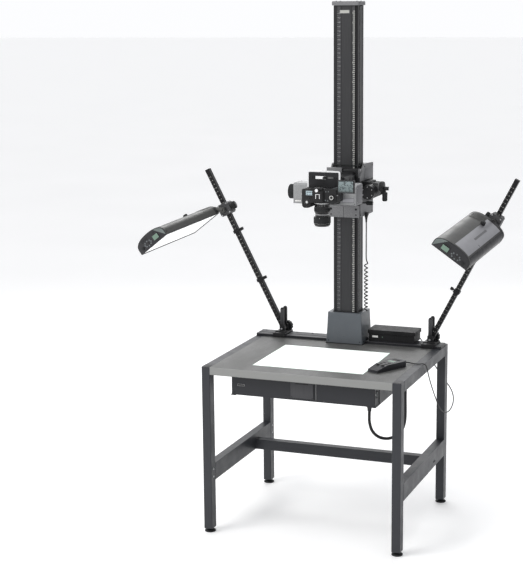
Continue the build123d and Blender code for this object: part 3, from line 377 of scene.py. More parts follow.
def make_column():
    n = Nodes("column_extrusion")
    lines = n.noise(700, 3, 0.6, stretch=(1, 1, 0.012))
    cloud = n.noise(3, 3, 0.5, stretch=(1, 1, 0.3))
    c = (0.040, 0.040, 0.042)
    col = n.mix(n.remap(lines, 0.3, 0.7, 0, 1), tuple(x * 0.85 for x in c), tuple(x * 1.18 for x in c))
    col = n.mix(n.remap(cloud, 0.3, 0.7, 0, 0.35), col, tuple(x * 0.75 for x in c))
    # darker band on the far left of the front face and in the right groove
    band = n.inside(x=(-70, -42.2), y=(250, 259.5))
    col = n.mix(n.maths("MULTIPLY", band, 0.75), col, (0.020, 0.020, 0.022))
    groove = n.inside(x=(44.5, 57.5), y=(250, 263))
    col = n.mix(n.maths("MULTIPLY", groove, 0.9), col, (0.010, 0.010, 0.011))
    # a paler strip along the front of the right side
    side = n.inside(x=(59.6, 62), y=(257, 269.5))
    col = n.mix(n.maths("MULTIPLY", side, 0.6), col, (0.060, 0.060, 0.058))
    return finish_mat(n, col, n.remap(lines, 0.3, 0.7, 0.34, 0.5), 0.45, n.bump(lines, 0.25, 0.0004))


def make_carriage():
    """One casting, lacquered dark in front and pale on the clamp, the side plate and the top block."""
    n = Nodes("carriage_lacquer")
    v = n.voronoi(420)
    v2 = n.noise(900, 3, 0.6)
    dark = n.mix(n.remap(n.noise(9, 4), 0.35, 0.65, 0, 1), (0.014, 0.014, 0.015), (0.028, 0.028, 0.030))
    pale = n.mix(n.remap(v, 0.0, 0.6, 0, 1), (0.30, 0.30, 0.305), (0.17, 0.17, 0.175))
    clamp = n.inside(z=(1385, 1447.6), y=(200, 300), x=(-90, 78.4))
    low_side = n.inside(z=(1385, 1452), y=(236, 440), x=(71, 90))
    hi_side = n.inside(z=(1560, 1645), y=(226, 440), x=(71, 90))
    block = n.inside(x=(-90, -5.9), y=(205, 222.5), z=(1600, 1630))
    back = n.inside(y=(262, 440), x=(-90, -71))
    mask = clamp
    for k in (low_side, hi_side, block, back):
        mask = n.maths("MAXIMUM", mask, k)
    col = n.mix(mask, dark, pale)
    side_dim = n.maths("MULTIPLY", n.maths("MAXIMUM", low_side, hi_side), 0.35)
    col = n.mix(side_dim, col, (0.12, 0.12, 0.125))
    nb = n.bump(v, 0.3, 0.0007)
    nb = n.bump(v2, 0.2, 0.0004, nb)
    return finish_mat(n, col, n.remap(v2, 0.3, 0.7, 0.42, 0.58), 0.2, nb)


def make_plate():
    """Camera plate: black textured inside the milled rim."""
    n = Nodes("camera_plate_black")
    v = n.voronoi(1100)
    col = n.mix(n.remap(n.noise(14, 4), 0.35, 0.65, 0, 1), (0.014, 0.014, 0.015), (0.030, 0.030, 0.033))
    return finish_mat(n, col, n.remap(v, 0.1, 0.6, 0.38, 0.55), 0.3, n.bump(v, 0.4, 0.0004))


M["table"] = make_table()
M["panel"] = make_panel()
M["column"] = make_column()
M["band"] = metal("cover_band", (0.045, 0.045, 0.048), 0.45, stretch=(1, 1, 0.02), metallic=0.3)
M["carriage"] = make_carriage()
M["plate"] = make_plate()

# --------------------------------------------------------------------------
# floor
# --------------------------------------------------------------------------
bm = bmesh.new()
bmesh.ops.create_grid(bm, x_segments=1, y_segments=1, size=90)
me = bpy.data.meshes.new("floor")
bm.to_mesh(me)
bm.free()
floor = bpy.data.objects.new("floor", me)
floor.location = (0, 0, -0.0005)
bpy.context.scene.collection.objects.link(floor)
n = Nodes("floor_pale")
col = n.mix(n.remap(n.noise(0.8, 3), 0.3, 0.7, 0, 1), (0.93, 0.93, 0.93), (0.96, 0.96, 0.96))
floor.data.materials.append(finish_mat(n, col, 0.75))
n.link(col, n.b.inputs["Emission Color"])
n.b.inputs["Emission Strength"].default_value = 0.16

# --------------------------------------------------------------------------
# CAD nodes: finish and softened edges
# --------------------------------------------------------------------------
FINISH = {
    "legs": "frame", "frame_rails": "frame", "table_top": "table", "glass_panel": "panel",
    "lightbox_housing": "box", "lightbox_fittings": "box", "backlight_tubes": "tube",
    "rear_rails": "box", "column": "column", "column_cap": "cast_mid", "column_rack": "steel",
    "column_base_plate": "steel", "column_base_cover": "cover", "control_unit": "lid",
    "handset": "handset", "handset_buttons": "black", "power_rocker": "grey_key",
    "carriage_plates": "carriage", "carriage_housing": "cast_mid", "guide_pads": "label",
    "drive_housing": "cast_dark", "crank": "black", "lock_knob": "rubber", "lead_gland": "black",
    "camera_arm": "cast_dark", "head_box": "cast", "focus_knob": "rubber", "camera_plate": "plate",
    "camera_body": "grip", "camera_display": "black", "lens_barrel": "black_gloss", "focus_ring": "rubber",
    "shutter_button": "bright", "mode_dial": "black",
}
for s in ("left", "right"):
    FINISH.update({
        "rail_clamp_" + s: "cast_dark", "pivot_knob_" + s: "rubber", "lamp_arm_" + s: "arm",
        "arm_clamp_" + s: "clamp", "clamp_knob_" + s: "rubber", "lamp_housing_" + s: "shell",
        "lamp_diffuser_" + s: "diffuser", "lamp_tubes_" + s: "tube", "lamp_buttons_" + s: "grey_key",
    })
for f in ("front_left", "front_right", "rear_left", "rear_right"):
    FINISH["foot_" + f] = "rubber"

BEVEL = {"legs": 1.2, "frame_rails": 1.2, "table_top": 0.8, "lightbox_housing": 0.8, "lightbox_fittings": 0.5, "rear_rails": 0.6,
         "column": 0.5, "column_base_cover": 1.0, "control_unit": 0.8, "handset": 2.6, "handset_buttons": 0.8, "power_rocker": 0.6,
         "carriage_plates": 1.2, "carriage_housing": 2.0, "drive_housing": 1.0, "crank": 1.5, "lock_knob": 0.8, "lead_gland": 0.8,
         "camera_arm": 1.2, "head_box": 1.2, "focus_knob": 0.8, "camera_plate": 0.7, "camera_body": 2.2, "camera_display": 1.2,
         "lens_barrel": 0.5, "focus_ring": 0.4, "shutter_button": 0.3, "mode_dial": 0.5, "column_cap": 0.4}
for s in ("left", "right"):
    BEVEL.update({"rail_clamp_" + s: 1.0, "pivot_knob_" + s: 1.0, "lamp_arm_" + s: 1.0, "arm_clamp_" + s: 1.2,
                  "clamp_knob_" + s: 0.8, "lamp_housing_" + s: 0.6, "lamp_buttons_" + s: 0.5})

for name, o in nodes.items():
    o.data.materials.clear()
    o.data.materials.append(M[FINISH.get(name, "cord")])
    for p in o.data.polygons:
        p.use_smooth = True
    if "custom_normal" in o.data.attributes:
        o.data.attributes.remove(o.data.attributes["custom_normal"])
    w = o.modifiers.new("weld", "WELD")
    w.merge_threshold = 0.00001
    if name in BEVEL:
        b = o.modifiers.new("soft_edges", "BEVEL")
        b.width = BEVEL[name] / 1000
        b.segments = 2
        b.limit_method = "ANGLE"
        b.angle_limit = math.radians(38)
        b.harden_normals = False
        b.use_clamp_overlap = True
    nm = o.modifiers.new("normals", "WEIGHTED_NORMAL")
    nm.keep_sharp = False
    nm.weight = 80


# --------------------------------------------------------------------------
# mesh building
# --------------------------------------------------------------------------
class Shape:
    """A mesh drawn in millimetres; each part of it has its own material."""

    def __init__(self, name, body, place=None):
        self.name, self.body = name, body
        self.place = place or Matrix.Identity(4)
        self.bm = bmesh.new()
        self.mats = []

    def slot(self, key):
        if key not in self.mats:
            self.mats.append(key)
        return self.mats.index(key)

    def take(self, tmp, key, at=None):
        i = self.slot(key)
        for f in tmp.faces:
            f.material_index = i
        if at is not None:
            bmesh.ops.transform(tmp, matrix=at, verts=tmp.verts)
        me = bpy.data.meshes.new("tmp")
        tmp.to_mesh(me)
        tmp.free()
        self.bm.from_mesh(me)
        bpy.data.meshes.remove(me)

    def box(self, x, y, z, key, bev=0.4, seg=2, at=None):
        t = bmesh.new()
        bmesh.ops.create_cube(t, size=1)
        s = Vector((x[1] - x[0], y[1] - y[0], z[1] - z[0]))
        c = Vector(((x[0] + x[1]) / 2, (y[0] + y[1]) / 2, (z[0] + z[1]) / 2))
        bmesh.ops.transform(t, matrix=Matrix.Translation(c) @ Matrix.Diagonal((*s, 1)), verts=t.verts)
        if bev:
            bmesh.ops.bevel(t, geom=list(t.edges), offset=min(bev, min(s) * 0.45), segments=seg, profile=0.5, affect="EDGES")
        self.take(t, key, at)

    def lathe(self, prof, key, axis="z", at=(0, 0, 0), n=40, m=None):
        """A profile of (radius, height) turned about an axis through a point."""
        t = bmesh.new()
        rings = []
        for r, h in prof:
            if r < 1e-6:
                rings.append([t.verts.new((0, 0, h))])
            else:
                rings.append([t.verts.new((r * math.cos(2 * math.pi * k / n), r * math.sin(2 * math.pi * k / n), h)) for k in range(n)])
        for a, b in zip(rings, rings[1:]):
            for k in range(n):
                k2 = (k + 1) % n
                if len(a) == 1 and len(b) > 1:
                    t.faces.new((a[0], b[k2], b[k]))
                elif len(b) == 1 and len(a) > 1:
                    t.faces.new((a[k], a[k2], b[0]))
                elif len(a) > 1 and len(b) > 1:
                    t.faces.new((a[k], a[k2], b[k2], b[k]))
        for ring, flip in ((rings[0], True), (rings[-1], False)):
            if len(ring) > 1:
                t.faces.new(ring[::-1] if flip else ring)
        bmesh.ops.recalc_face_normals(t, faces=t.faces)
        rot = {"z": Matrix.Identity(4), "x": Matrix.Rotation(math.pi / 2, 4, "Y"), "y": Matrix.Rotation(-math.pi / 2, 4, "X")}[axis]
        mm = Matrix.Translation(at) @ rot
        self.take(t, key, (m @ mm) if m is not None else mm)

    def prism(self, pts, lo, hi, key, plane="xy", bev=0.0, at=None):
        """An outline pushed along the third axis."""
        t = bmesh.new()
        order = {"xy": lambda a, b, c: (a, b, c), "xz": lambda a, b, c: (a, c, b), "yz": lambda a, b, c: (c, a, b)}[plane]
        lower = [t.verts.new(order(a, b, lo)) for a, b in pts]
        upper = [t.verts.new(order(a, b, hi)) for a, b in pts]
        k = len(pts)
        t.faces.new(lower[::-1])
        t.faces.new(upper)
        for i in range(k):
            t.faces.new((lower[i], lower[(i + 1) % k], upper[(i + 1) % k], upper[i]))
        bmesh.ops.recalc_face_normals(t, faces=t.faces)
        if bev:
            bmesh.ops.bevel(t, geom=list(t.edges), offset=bev, segments=2, profile=0.5, affect="EDGES")
        self.take(t, key, at)

    def frame(self, x, y, z, wide, key, plane="xy"):
        """A flat rectangular ring; the third range is its thickness."""
        a, b, c = {"xy": (x, y, z), "xz": (x, z, y), "yz": (y, z, x)}[plane]
        parts = [((a[0], a[1]), (b[0], b[0] + wide)), ((a[0], a[1]), (b[1] - wide, b[1])),
                 ((a[0], a[0] + wide), (b[0] + wide, b[1] - wide)), ((a[1] - wide, a[1]), (b[0] + wide, b[1] - wide))]
        for p, q in parts:
            if plane == "xy":
                self.box(p, q, c, key, 0.2, 1)
            elif plane == "xz":
                self.box(p, c, q, key, 0.2, 1)
            else:
                self.box(c, p, q, key, 0.2, 1)

    def screw(self, at, axis, r=3.2, key="seat", h=2.0, hexed=True, m=None):
        """Button-head screw with a hexagon socket, head along +axis (or -axis if h < 0)."""
        sgn = 1 if h > 0 else -1
        h = abs(h)
        prof = [(r, 0), (r, h * 0.35), (r * 0.86, h * 0.75), (r * 0.62, h), (r * 0.42, h), (r * 0.40, h * 0.35), (0, h * 0.35)]
        if sgn < 0:
            prof = [(a, -b) for a, b in prof]
        self.lathe(prof, key, axis, at, 18, m)

    def done(self, smooth=38):
        me = bpy.data.meshes.new(self.name)
        bmesh.ops.transform(self.bm, matrix=SHIFT @ self.place, verts=self.bm.verts)
        self.bm.to_mesh(me)
        self.bm.free()
        for k in self.mats:
            me.materials.append(M[k])
        for p in me.polygons:
            p.use_smooth = True
        me.set_sharp_from_angle(angle=math.radians(smooth))
        o = bpy.data.objects.new(self.name, me)
        bpy.context.scene.collection.objects.link(o)
        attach(o, self.body)
        return o


def text_into(shape, s, size, key, at, m):
    """Plain digits as thin raised marks."""
    cu = bpy.data.curves.new("digits", "FONT")
    cu.body = s
    cu.size = size
    cu.extrude = 0.06
    cu.align_x, cu.align_y = "CENTER", "CENTER"
    cu.resolution_u = 2
    o = bpy.data.objects.new("digits", cu)
    bpy.context.scene.collection.objects.link(o)
    dg = bpy.context.evaluated_depsgraph_get()
    me = bpy.data.meshes.new_from_object(o.evaluated_get(dg))
    t = bmesh.new()
    t.from_mesh(me)
    bpy.data.objects.remove(o)
    bpy.data.curves.remove(cu)
    bpy.data.meshes.remove(me)
    shape.take(t, key, Matrix.Translation(at) @ m)


STAND_FRONT = Matrix.Rotation(math.pi / 2, 4, "X")      # text lies in XZ and faces -Y

# --------------------------------------------------------------------------
# cords
# --------------------------------------------------------------------------


def spline_curve(name, pts, dia, body, key="cord"):
    cu = bpy.data.curves.new(name, "CURVE")
    cu.dimensions = "3D"
    sp = cu.splines.new("NURBS")
    sp.points.add(len(pts) - 1)
    for p, q in zip(sp.points, pts):
        p.co = (*V(*q), 1)
    sp.order_u = 3
    sp.use_endpoint_u = True
    sp.resolution_u = 10
    cu.bevel_depth = dia / 2000
    cu.bevel_resolution = 4
    cu.use_fill_caps = True
    cu.materials.append(M[key])
    o = bpy.data.objects.new(name, cu)
    bpy.context.scene.collection.objects.link(o)
    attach(o, body)
    return o


light_pts = [
    (302, -330, 625.7), (301.5, -331, 602), (302, -330, 575), (311.3, -324.7, 534.9), (336.7, -310, 505.5),
    (371.5, -290, 494.8), (406.3, -270, 505.5), (431.7, -255.3, 534.9), (441, -250, 575), (441.6, -249, 620),
    (440.6, -249.5, 676), (441, -250, 730.8)]
cable = spline_curve("lightbox_cable_run", light_pts, 13.5, "stand")
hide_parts("lightbox_cable")

hand_pts = [
    (375.7, -83.1, 793), (383, -66, 792), (397, -53, 788), (416, -49, 784.3), (436, -54, 784.2), (452, -53, 784.8),
    (464, -45, 785.6), (474, -32, 777), (475, -15, 757), (473, 13, 724), (472, 49, 683), (472, 92, 636), (473, 140, 586),
    (474, 190, 537), (475, 240, 496), (478, 292, 470), (482, 346, 458), (486, 396, 464), (487, 436, 486), (482, 450, 518),
    (470, 446, 550), (450, 438, 581), (425, 432, 615), (398, 430, 655), (372, 430, 700), (348, 430, 746), (326, 428, 784),
    (310, 418, 806), (303, 396, 813)]
hcord = spline_curve("handset_cord_run", hand_pts, 5.0, "stand")
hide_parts("handset_cord")

# curly lead: straight down from the carriage, then a coil to the column's foot
LX, LY = 84.0, 312.0
TURNS, R_COIL, Z_TOP, Z_LOW = 12, 7.5, 1163.0, 934.0
lead_pts = [(LX, LY, 1358.0), (LX + 0.4, LY, 1325.0), (LX - 0.3, LY + 0.3, 1285.0), (LX + 0.3, LY - 0.2, 1245.0), (LX - 0.2, LY, 1212.0),
            (LX, LY, 1190.0), (LX + 1.5, LY, 1176.0)]
per = 14
for k in range(TURNS * per + 1):
    a = 2 * math.pi * k / per
    f = k / (TURNS * per)
    wob = 0.35 * math.sin(k * 0.37)
    # the turns are a little closer at the bottom, where the coil's weight rests
    z = Z_TOP - (Z_TOP - Z_LOW) * (f ** 0.93)
    lead_pts.append((LX + (R_COIL + wob * 0.3) * math.cos(a), LY + (R_COIL + wob * 0.3) * math.sin(a), z))
lead_pts.append((LX + 2, LY + 3, 931.2))
cu = bpy.data.curves.new("lead_line", "CURVE")
cu.dimensions = "3D"
sp = cu.splines.new("NURBS")
sp.points.add(len(lead_pts) - 1)
for p, q in zip(sp.points, lead_pts):
    p.co = (*V(*q), 1)
sp.order_u = 3
sp.use_endpoint_u = True
sp.resolution_u = 4
line_obj = bpy.data.objects.new("lead_line", cu)
bpy.context.scene.collection.objects.link(line_obj)
dg = bpy.context.evaluated_depsgraph_get()
line_me = bpy.data.meshes.new_from_object(line_obj.evaluated_get(dg))
cu.bevel_depth = 0.0027
cu.bevel_resolution = 3
cu.use_fill_caps = True
dg = bpy.context.evaluated_depsgraph_get()
lead_me = bpy.data.meshes.new_from_object(line_obj.evaluated_get(dg))
bpy.data.objects.remove(line_obj)
lead_me.materials.clear()
lead_me.materials.append(M["cord"])
for p in lead_me.polygons:
    p.use_smooth = True
lead = bpy.data.objects.new("curly_lead", lead_me)
bpy.context.scene.collection.objects.link(lead)
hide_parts("column_lead", "column_coil")
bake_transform(lead)

# --------------------------------------------------------------------------
# stand: table, light panel, light box
# --------------------------------------------------------------------------
s = Shape("panel_gasket", "stand")
s.frame((-262.0, 262.0), (-296.0, 128.0), (776.0, 779.3), 1.9, "gasket")
s.done()

s = Shape("table_details", "stand")
# hem of the folded edge, seams at the corners, slot liner
for y, sg in ((-400, -1), (400, 1)):
    ys = sorted((y, y - sg * 6))
    s.box((-424, 424), ys, (745.0, 746.6), "frame", 0.5)
s.box((-329, -281), (188.3, 190.7), (776, 778.6), "dark_gap", 0.1, 1)
for x in (-425.35, 425.0):
    s.box((x, x + 0.35), (-398, 398), (777.4, 780.02), "dark_gap", 0.05, 1)
s.done()

s = Shape("leg_fasteners", "stand")
for sx in (-1, 1):
    for sy in (-1, 1):
        # moulded plug on top of each leg
        s.box((sx * 445 - 17, sx * 445 + 17), (sy * 375 - 22, sy * 375 + 22), (779.6, 780.5), "black", 0.3)
        # bolts through the inner faces into the rails and stretchers
        for z in (748, 764):
            s.screw((sx * 425, sy * 375, z), "x", 5.0, "seat", -3.0 * sx)
        for z in (262, 298):
            s.screw((sx * 425, sy * 375, z), "x", 5.0, "seat", -3.0 * sx)
    for y in (161, 179):
        s.screw((sx * 465, y, 265), "x", 5.0, "black_screw", 2.0 * sx)
# weld seams where stretchers meet legs
for sx in (-1, 1):
    for sy in (-1, 1):
        for z in ((731, 780), (240, 320)):
            xs = sorted((sx * 424.6, sx * 465.4))
            s.frame(xs, sorted((sy * 349.4, sy * 350.6)), z, 1.2, "frame", "xz")
s.done()

s = Shape("lightbox_details", "stand")
# blank maker's place, cover grip and screws, vents at the sides and back
s.box((-306, -274), (-360.5, -359.6), (697, 703), "dark_gap", 0.2, 1)
s.frame((-307.5, -272.5), (-360.9, -359.8), (695.5, 704.5), 1.4, "grey_mark", "xz")
for x in (-48, 48):
    for z in (668, 735):
        s.screw((x, -362.5, z), "y", 2.4, "black_screw", -1.2)
s.box((-53, 53), (-362.7, -361.8), (664, 739), "anod", 0.5)
s.box((-30, 30), (-363.2, -362.5), (728, 731), "dark_gap", 0.2, 1)
s.box((57, 59.5), (-361.8, -361.0), (662, 742), "dark_gap", 0.1, 1)
s.box((65, 66.5), (-361.8, -361.0), (662, 742), "grey_mark", 0.1, 1)
for x in (-322, 322):
    for z in (664, 736):
        s.screw((x, -360, z), "y", 2.6, "black_screw", -1.3)
for k in range(12):
    y = -210 + k * 14
    for sx in (-1, 1):
        xs = sorted((sx * 335.8, sx * 336.4))
        s.box(xs, (y, y + 5), (684, 724), "dark_gap", 0.1, 1)
for k in range(18):
    x = -200 + k * 23
    s.box((x, x + 9), (179.8, 180.4), (684, 724), "dark_gap", 0.1, 1)
# bezel round the mains rocker
s.frame((335.8, 337.4), (-345, -325), (689, 723), 2.2, "black", "yz")
s.box((336.0, 336.6), (-352, -347), (703, 709), "label", 0.1, 1)
# lower edge flange of the box
s.frame((-337, 337), (-361, 181), (653.6, 655.4), 3, "box", "xy")
s.done()

# --------------------------------------------------------------------------
# stand: column scales, foot, rails
# --------------------------------------------------------------------------
s = Shape("column_scale_right", "stand")
s.box((31.4, 43.4), (256.82, 257.3), (932, 2362), "anod", 0.05, 1)
z = 935.0
k = 0
while z < 2340:
    w = 11.0 if k % 5 == 0 else 8.6
    s.box((43.2 - w, 43.2), (256.6, 256.86), (z, z + 3.6), "tick", 0, 1)
    if k % 5 == 0:
        s.box((32.2, 34.4), (256.6, 256.86), (z + 4.8, z + 7.0), "tick", 0, 1)
    z += 9.0
    k += 1
s.done()

s = Shape("column_scale_left", "stand")
s.box((-40.6, -25.4), (256.82, 257.3), (932, 2362), "anod", 0.05, 1)
for k in range(1, 71):
    z = 930 + k * 20
    s.box((-40.2, -36.4), (256.6, 256.86), (z, z + 2.2), "grey_mark", 0, 1)
    s.box((-40.2, -38.2), (256.6, 256.86), (z + 10, z + 11.4), "grey_mark", 0, 1)
    text_into(s, str(k), 8.6, "grey_mark", (-30.8, 256.72, z + 0.6), STAND_FRONT)
s.done()

s = Shape("column_details", "stand")
for x in (-50, 50):
    for y in (266, 328):
        s.screw((x, y, 2386), "z", 3.2, "black_screw", 1.6)
# cover band over most of the side channel; the rack shows at its front edge
s.box((58.5, 59.3), (281, 319.4), (934, 2364), "band", 0.2, 1)
# raised blank nameplate at the head of the column
s.frame((-29, 17), (256.3, 257.2), (2331, 2346), 1.4, "grey_mark", "xz")
s.box((-27.4, 15.4), (256.5, 257.2), (2332.6, 2344.4), "tick", 0.1, 1)
# screws of the foot's cover
for x in (-78, 78):
    s.screw((x, 232.6, 794), "y", 3.0, "black_screw", -1.4)
for y in (250, 366):
    for sx in (-1, 1):
        s.screw((sx * 89.6, y, 794), "x", 3.0, "black_screw", 1.4 * sx)
# rubber skirt round the cover's foot
s.frame((-92, 92), (230.4, 387), (780, 784), 3.0, "gasket", "xy")
# collar where the column comes out of the cover
s.frame((-64, 64), (253, 341), (929.6, 932.6), 3.6, "black", "xy")
s.done()

s = Shape("rear_rail_details", "stand")
for sx in (-1, 1):
    xs = sorted((sx * 93.0, sx * 459.0))
    s.box(xs, (268.8, 270.1), (788.6, 792.4), "anod", 0.3)
    for k in range(5):
        x = sx * (120 + k * 80)
        s.screw((x, 348, 793), "z", 4.2, "black_screw", 2.2)
    xs = sorted((sx * 460.0, sx * 463.0))
    s.box(xs, (270, 360), (780.2, 793), "black", 0.8)
s.done()

s = Shape("control_unit_details", "stand")
s.box((124, 152), (285.2, 286.2), (811, 820), "label", 0.2, 1)
for k in range(9):
    x = 214 + k * 11
    s.box((x, x + 5), (285.7, 286.3), (802, 824), "dark_gap", 0.1, 1)
for k in range(10):
    x = 130 + k * 18
    s.box((x, x + 9), (393.7, 394.3), (802, 824), "dark_gap", 0.1, 1)
s.lathe([(2.2, 0), (2.2, 1.2), (0, 1.8)], "lcd", "y", (174, 285.9, 815), 16, None)
s.box((101.2, 335.8), (280.2, 398.8), (831.2, 832.4), "black", 0.4)
for x in (112, 325):
    for y in (291, 388):
        s.screw((x, y, 848), "z", 2.6, "black_screw", 1.2)
# socket of the hand control's cord
s.lathe([(7.5, 0), (7.5, 3), (5.5, 4.2), (3.2, 4.2), (2.6, 2)], "black", "y", (303, 392.5, 813), 22)
s.done()

# --------------------------------------------------------------------------
# hand control
# --------------------------------------------------------------------------
HS = Matrix.Translation((330.0, -166.0, 780.0)) @ Matrix.Rotation(math.radians(-24), 4, "Z")
s = Shape("handset_details", "stand", HS)
for bx in (-14, 14):
    for by in (-42, -20, 2):
        s.lathe([(8.6, 26.9), (8.6, 27.7), (7.9, 28.0), (6.7, 28.0), (6.5, 27.0)], "black_gloss", "z", (bx, by, 0), 24)
s.frame((-22, 22), (20, 50), (26.9, 27.7), 2.0, "black_gloss", "xy")
s.box((-20.2, 20.2), (21.8, 48.2), (26.9, 27.3), "lcd", 0.1, 1)
for k in range(5):
    s.box((-22, 22), (60 + 4.5 * k, 62 + 4.5 * k), (26.9, 27.6), "black", 0.2, 1)
# moulding seam round the middle
a0, a1, y0, y1 = 28.2, 40.3, -94.3, 74
s.prism([(-a0, y0), (a0, y0), (a1, 74), (34.3, 94.4), (-34.3, 94.4), (-a1, 74)], 8.4, 9.2, "dark_gap", "xy")
s.lathe([(1.8, 0), (1.8, 0.8), (0, 1.3)], "red_key", "z", (0, 55, 26.9), 14)
for x in (-24, 24):
    for y in (-70, 70):
        s.lathe([(5, -0.0), (5, 1.0), (4, 1.4)], "rubber", "z", (x, y, -0.0), 16)
s.done()
s = Shape("handset_strain_relief", "stand", HS)
prof = []
for k in range(9):
    prof += [(5.2 - 0.28 * k, 94 + 3.1 * k - 94), (5.2 - 0.28 * k, 94 + 3.1 * k + 1.9 - 94), (4.3 - 0.2 * k, 94 + 3.1 * k + 2.0 - 94), (4.3 - 0.2 * k, 94 + 3.1 * k + 3.0 - 94)]
s.lathe([(0, 0)] + prof[:20] + [(0, 15.2)], "black", "y", (8.3, 92.5, 13), 20)
s.done()

# --------------------------------------------------------------------------
# carriage, arm and head
# --------------------------------------------------------------------------
s = Shape("carriage_details", "carriage")
# clamp screws
for x in (-61, 61):
    s.screw((x, 222, 1430), "y", 5.2, "black_screw", -4.0)
    s.screw((x, 222, 1404), "y", 3.4, "black_screw", -2.4)
for x in (-64, 64):
    for z in (1462, 1610):
        s.screw((x, 222, z), "y", 3.6, "black_screw", -2.4)
# side plates: screws round the edge and a shallow cover on each
for sx in (-1, 1):
    for y, z in ((236, 1402), (420, 1402), (420, 1620), (300, 1624), (330, 1400), (420, 1500)):
        s.screw((sx * 79, y, z), "x", 3.4, "black_screw", 2.2 * sx)
s.prism([(286, 1560), (424, 1560), (424, 1612), (306, 1614)], 78.6, 80.2, "cast_mid", "yz", 0.5)
s.prism([(240, 1470), (424, 1470), (424, 1612), (292, 1620), (240, 1572)], -80.4, -78.8, "cast_mid", "yz", 0.5)
# dark front cover beside the arm, with its seam
s.box((-70, -50), (219.6, 222.2), (1456, 1596), "cast_dark", 0.8)
s.box((63, 71), (219.6, 222.2), (1456, 1612), "cast_dark", 0.8)
s.box((0, 70), (216.4, 222.2), (1602, 1618), "cast_dark", 1.0)
# felt wipers on the column
s.frame((-66, 66), (251.5, 343), (1630.5, 1635), 5.6, "gasket", "xy")
# rear housing: cooling slots and a blank plate
for k in range(12):
    z = 1440 + k * 11
    s.box((-42, 42), (433.6, 434.4), (z, z + 4.5), "dark_gap", 0.1, 1)
s.frame((-30, 30), (433.6, 434.9), (1585, 1612), 1.5, "grey_mark", "xz")
for x in (-62, 62):
    for z in (1408, 1616):
        s.screw((x, 434, z), "y", 3.2, "black_screw", 2.0)
s.done()

s = Shape("gear_case_details", "carriage")
for k in range(7):
    y = 258 + k * 21
    s.lathe([(34.0, 0), (35.4, 0.6), (35.4, 3.4), (34.0, 4.0)], "cast_dark", "y", (113, y, 1511), 48)
for k in range(6):
    a = math.radians(30 + 60 * k)
    s.screw((113 + 25 * math.cos(a), 232, 1511 + 25 * math.sin(a)), "y", 2.8, "seat", -1.6)
s.lathe([(19, 0), (19, 2.5), (16, 4.2), (0, 4.2)], "black", "y", (113, 232.4, 1511), 32, None)
s.box((84, 108), (266, 368), (1554.4, 1556.6), "black", 0.8)
s.lathe([(21.2, 0), (21.2, 2.4), (18.5, 3.2), (6, 3.2)], "cast_mid", "x", (150.2, 300, 1530), 36)
for k in range(4):
    a = math.radians(45 + 90 * k)
    s.screw((153.2, 300 + 15 * math.cos(a), 1530 + 15 * math.sin(a)), "x", 1.9, "seat", 1.1)
s.done()

s = Shape("arm_details", "carriage")
for sx, x in ((-1, -48), (1, 60)):
    for k in range(3):
        y = 84 + k * 44
        s.prism([(y, 1516), (y + 30, 1516), (y + 30, 1586), (y, 1586)], x - 0.9, x + 0.9, "cast_dark", "yz", 0.8)
    for y in (72, 212):
        for z in (1514, 1588):
            s.screw((x, y, z), "x", 2.8, "black_screw", 1.8 * sx)
s.box((-40, 52), (196, 216), (1599, 1603.5), "cast_dark", 1.2)
s.done()

s = Shape("head_details", "carriage")
# recessed blank plate on the right of the front face
s.box((58, 142.5), (-32.2, -30), (1486, 1546), "cast", 0.9)
s.frame((78, 134), (-33.0, -32.0), (1497, 1517), 1.6, "cast_mid", "xz")
s.box((79.6, 132.4), (-32.5, -32.0), (1498.6, 1515.4), "silver", 0.2, 1)
for x, z in ((64, 1540), (137, 1540), (64, 1491), (137, 1491)):
    s.screw((x, -32.2, z), "y", 2.0, "black_screw", -1.1)
# bearing collar of the focus knob and its scale ring
s.lathe([(20, -1.5), (20, 0.6), (17, 0.8)], "bright", "x", (-158.2, 15, 1533), 36)
# left front: index window for the focus scale
s.frame((-150, -118), (-30.8, -29.8), (1492, 1502), 1.1, "cast_mid", "xz")
s.box((-149, -119), (-30.3, -29.9), (1493, 1501), "label", 0.1, 1)
for k in range(13):
    s.box((-148 + k * 2.3, -147.4 + k * 2.3), (-30.45, -30.2), (1497.5 if k % 5 else 1496, 1501), "dark_gap", 0, 1)
# guide rails for the camera plate
for x in (-70, 50):
    s.box((x, x + 10), (-32.2, -29.8), (1488, 1574), "steel", 0.5)
# lid screws on top, seam, end cover on the right
for x in (-146, -60, 40, 132):
    for y in (-22, 52):
        s.screw((x, y, 1577), "z", 2.4, "black_screw", 1.2)
s.box((143.6, 145.6), (-26, 56), (1488, 1571), "cast_mid", 0.8)
for y in (-18, 48):
    for z in (1496, 1562):
        s.screw((145.6, y, z), "x", 2.6, "seat", 1.4)
for k in range(6):
    s.box((-110 + k * 16, -102 + k * 16), (59.8, 60.5), (1500, 1560), "dark_gap", 0.1, 1)
s.done()

s = Shape("focus_knob_cap", "focus_knob")
s.lathe([(26.5, 0.3), (26.5, -1.2), (24.5, -2.0), (0, -2.0)], "black_gloss", "x", (-188.8, 15, 1533), 40)
s.lathe([(4, -1.8), (4, -2.8), (0, -3.2)], "seat", "x", (-188.8, 15, 1533), 18)
s.box((-191.1, -190.6), (14.2, 15.8), (1549, 1557), "white_mark", 0, 1)
s.done()

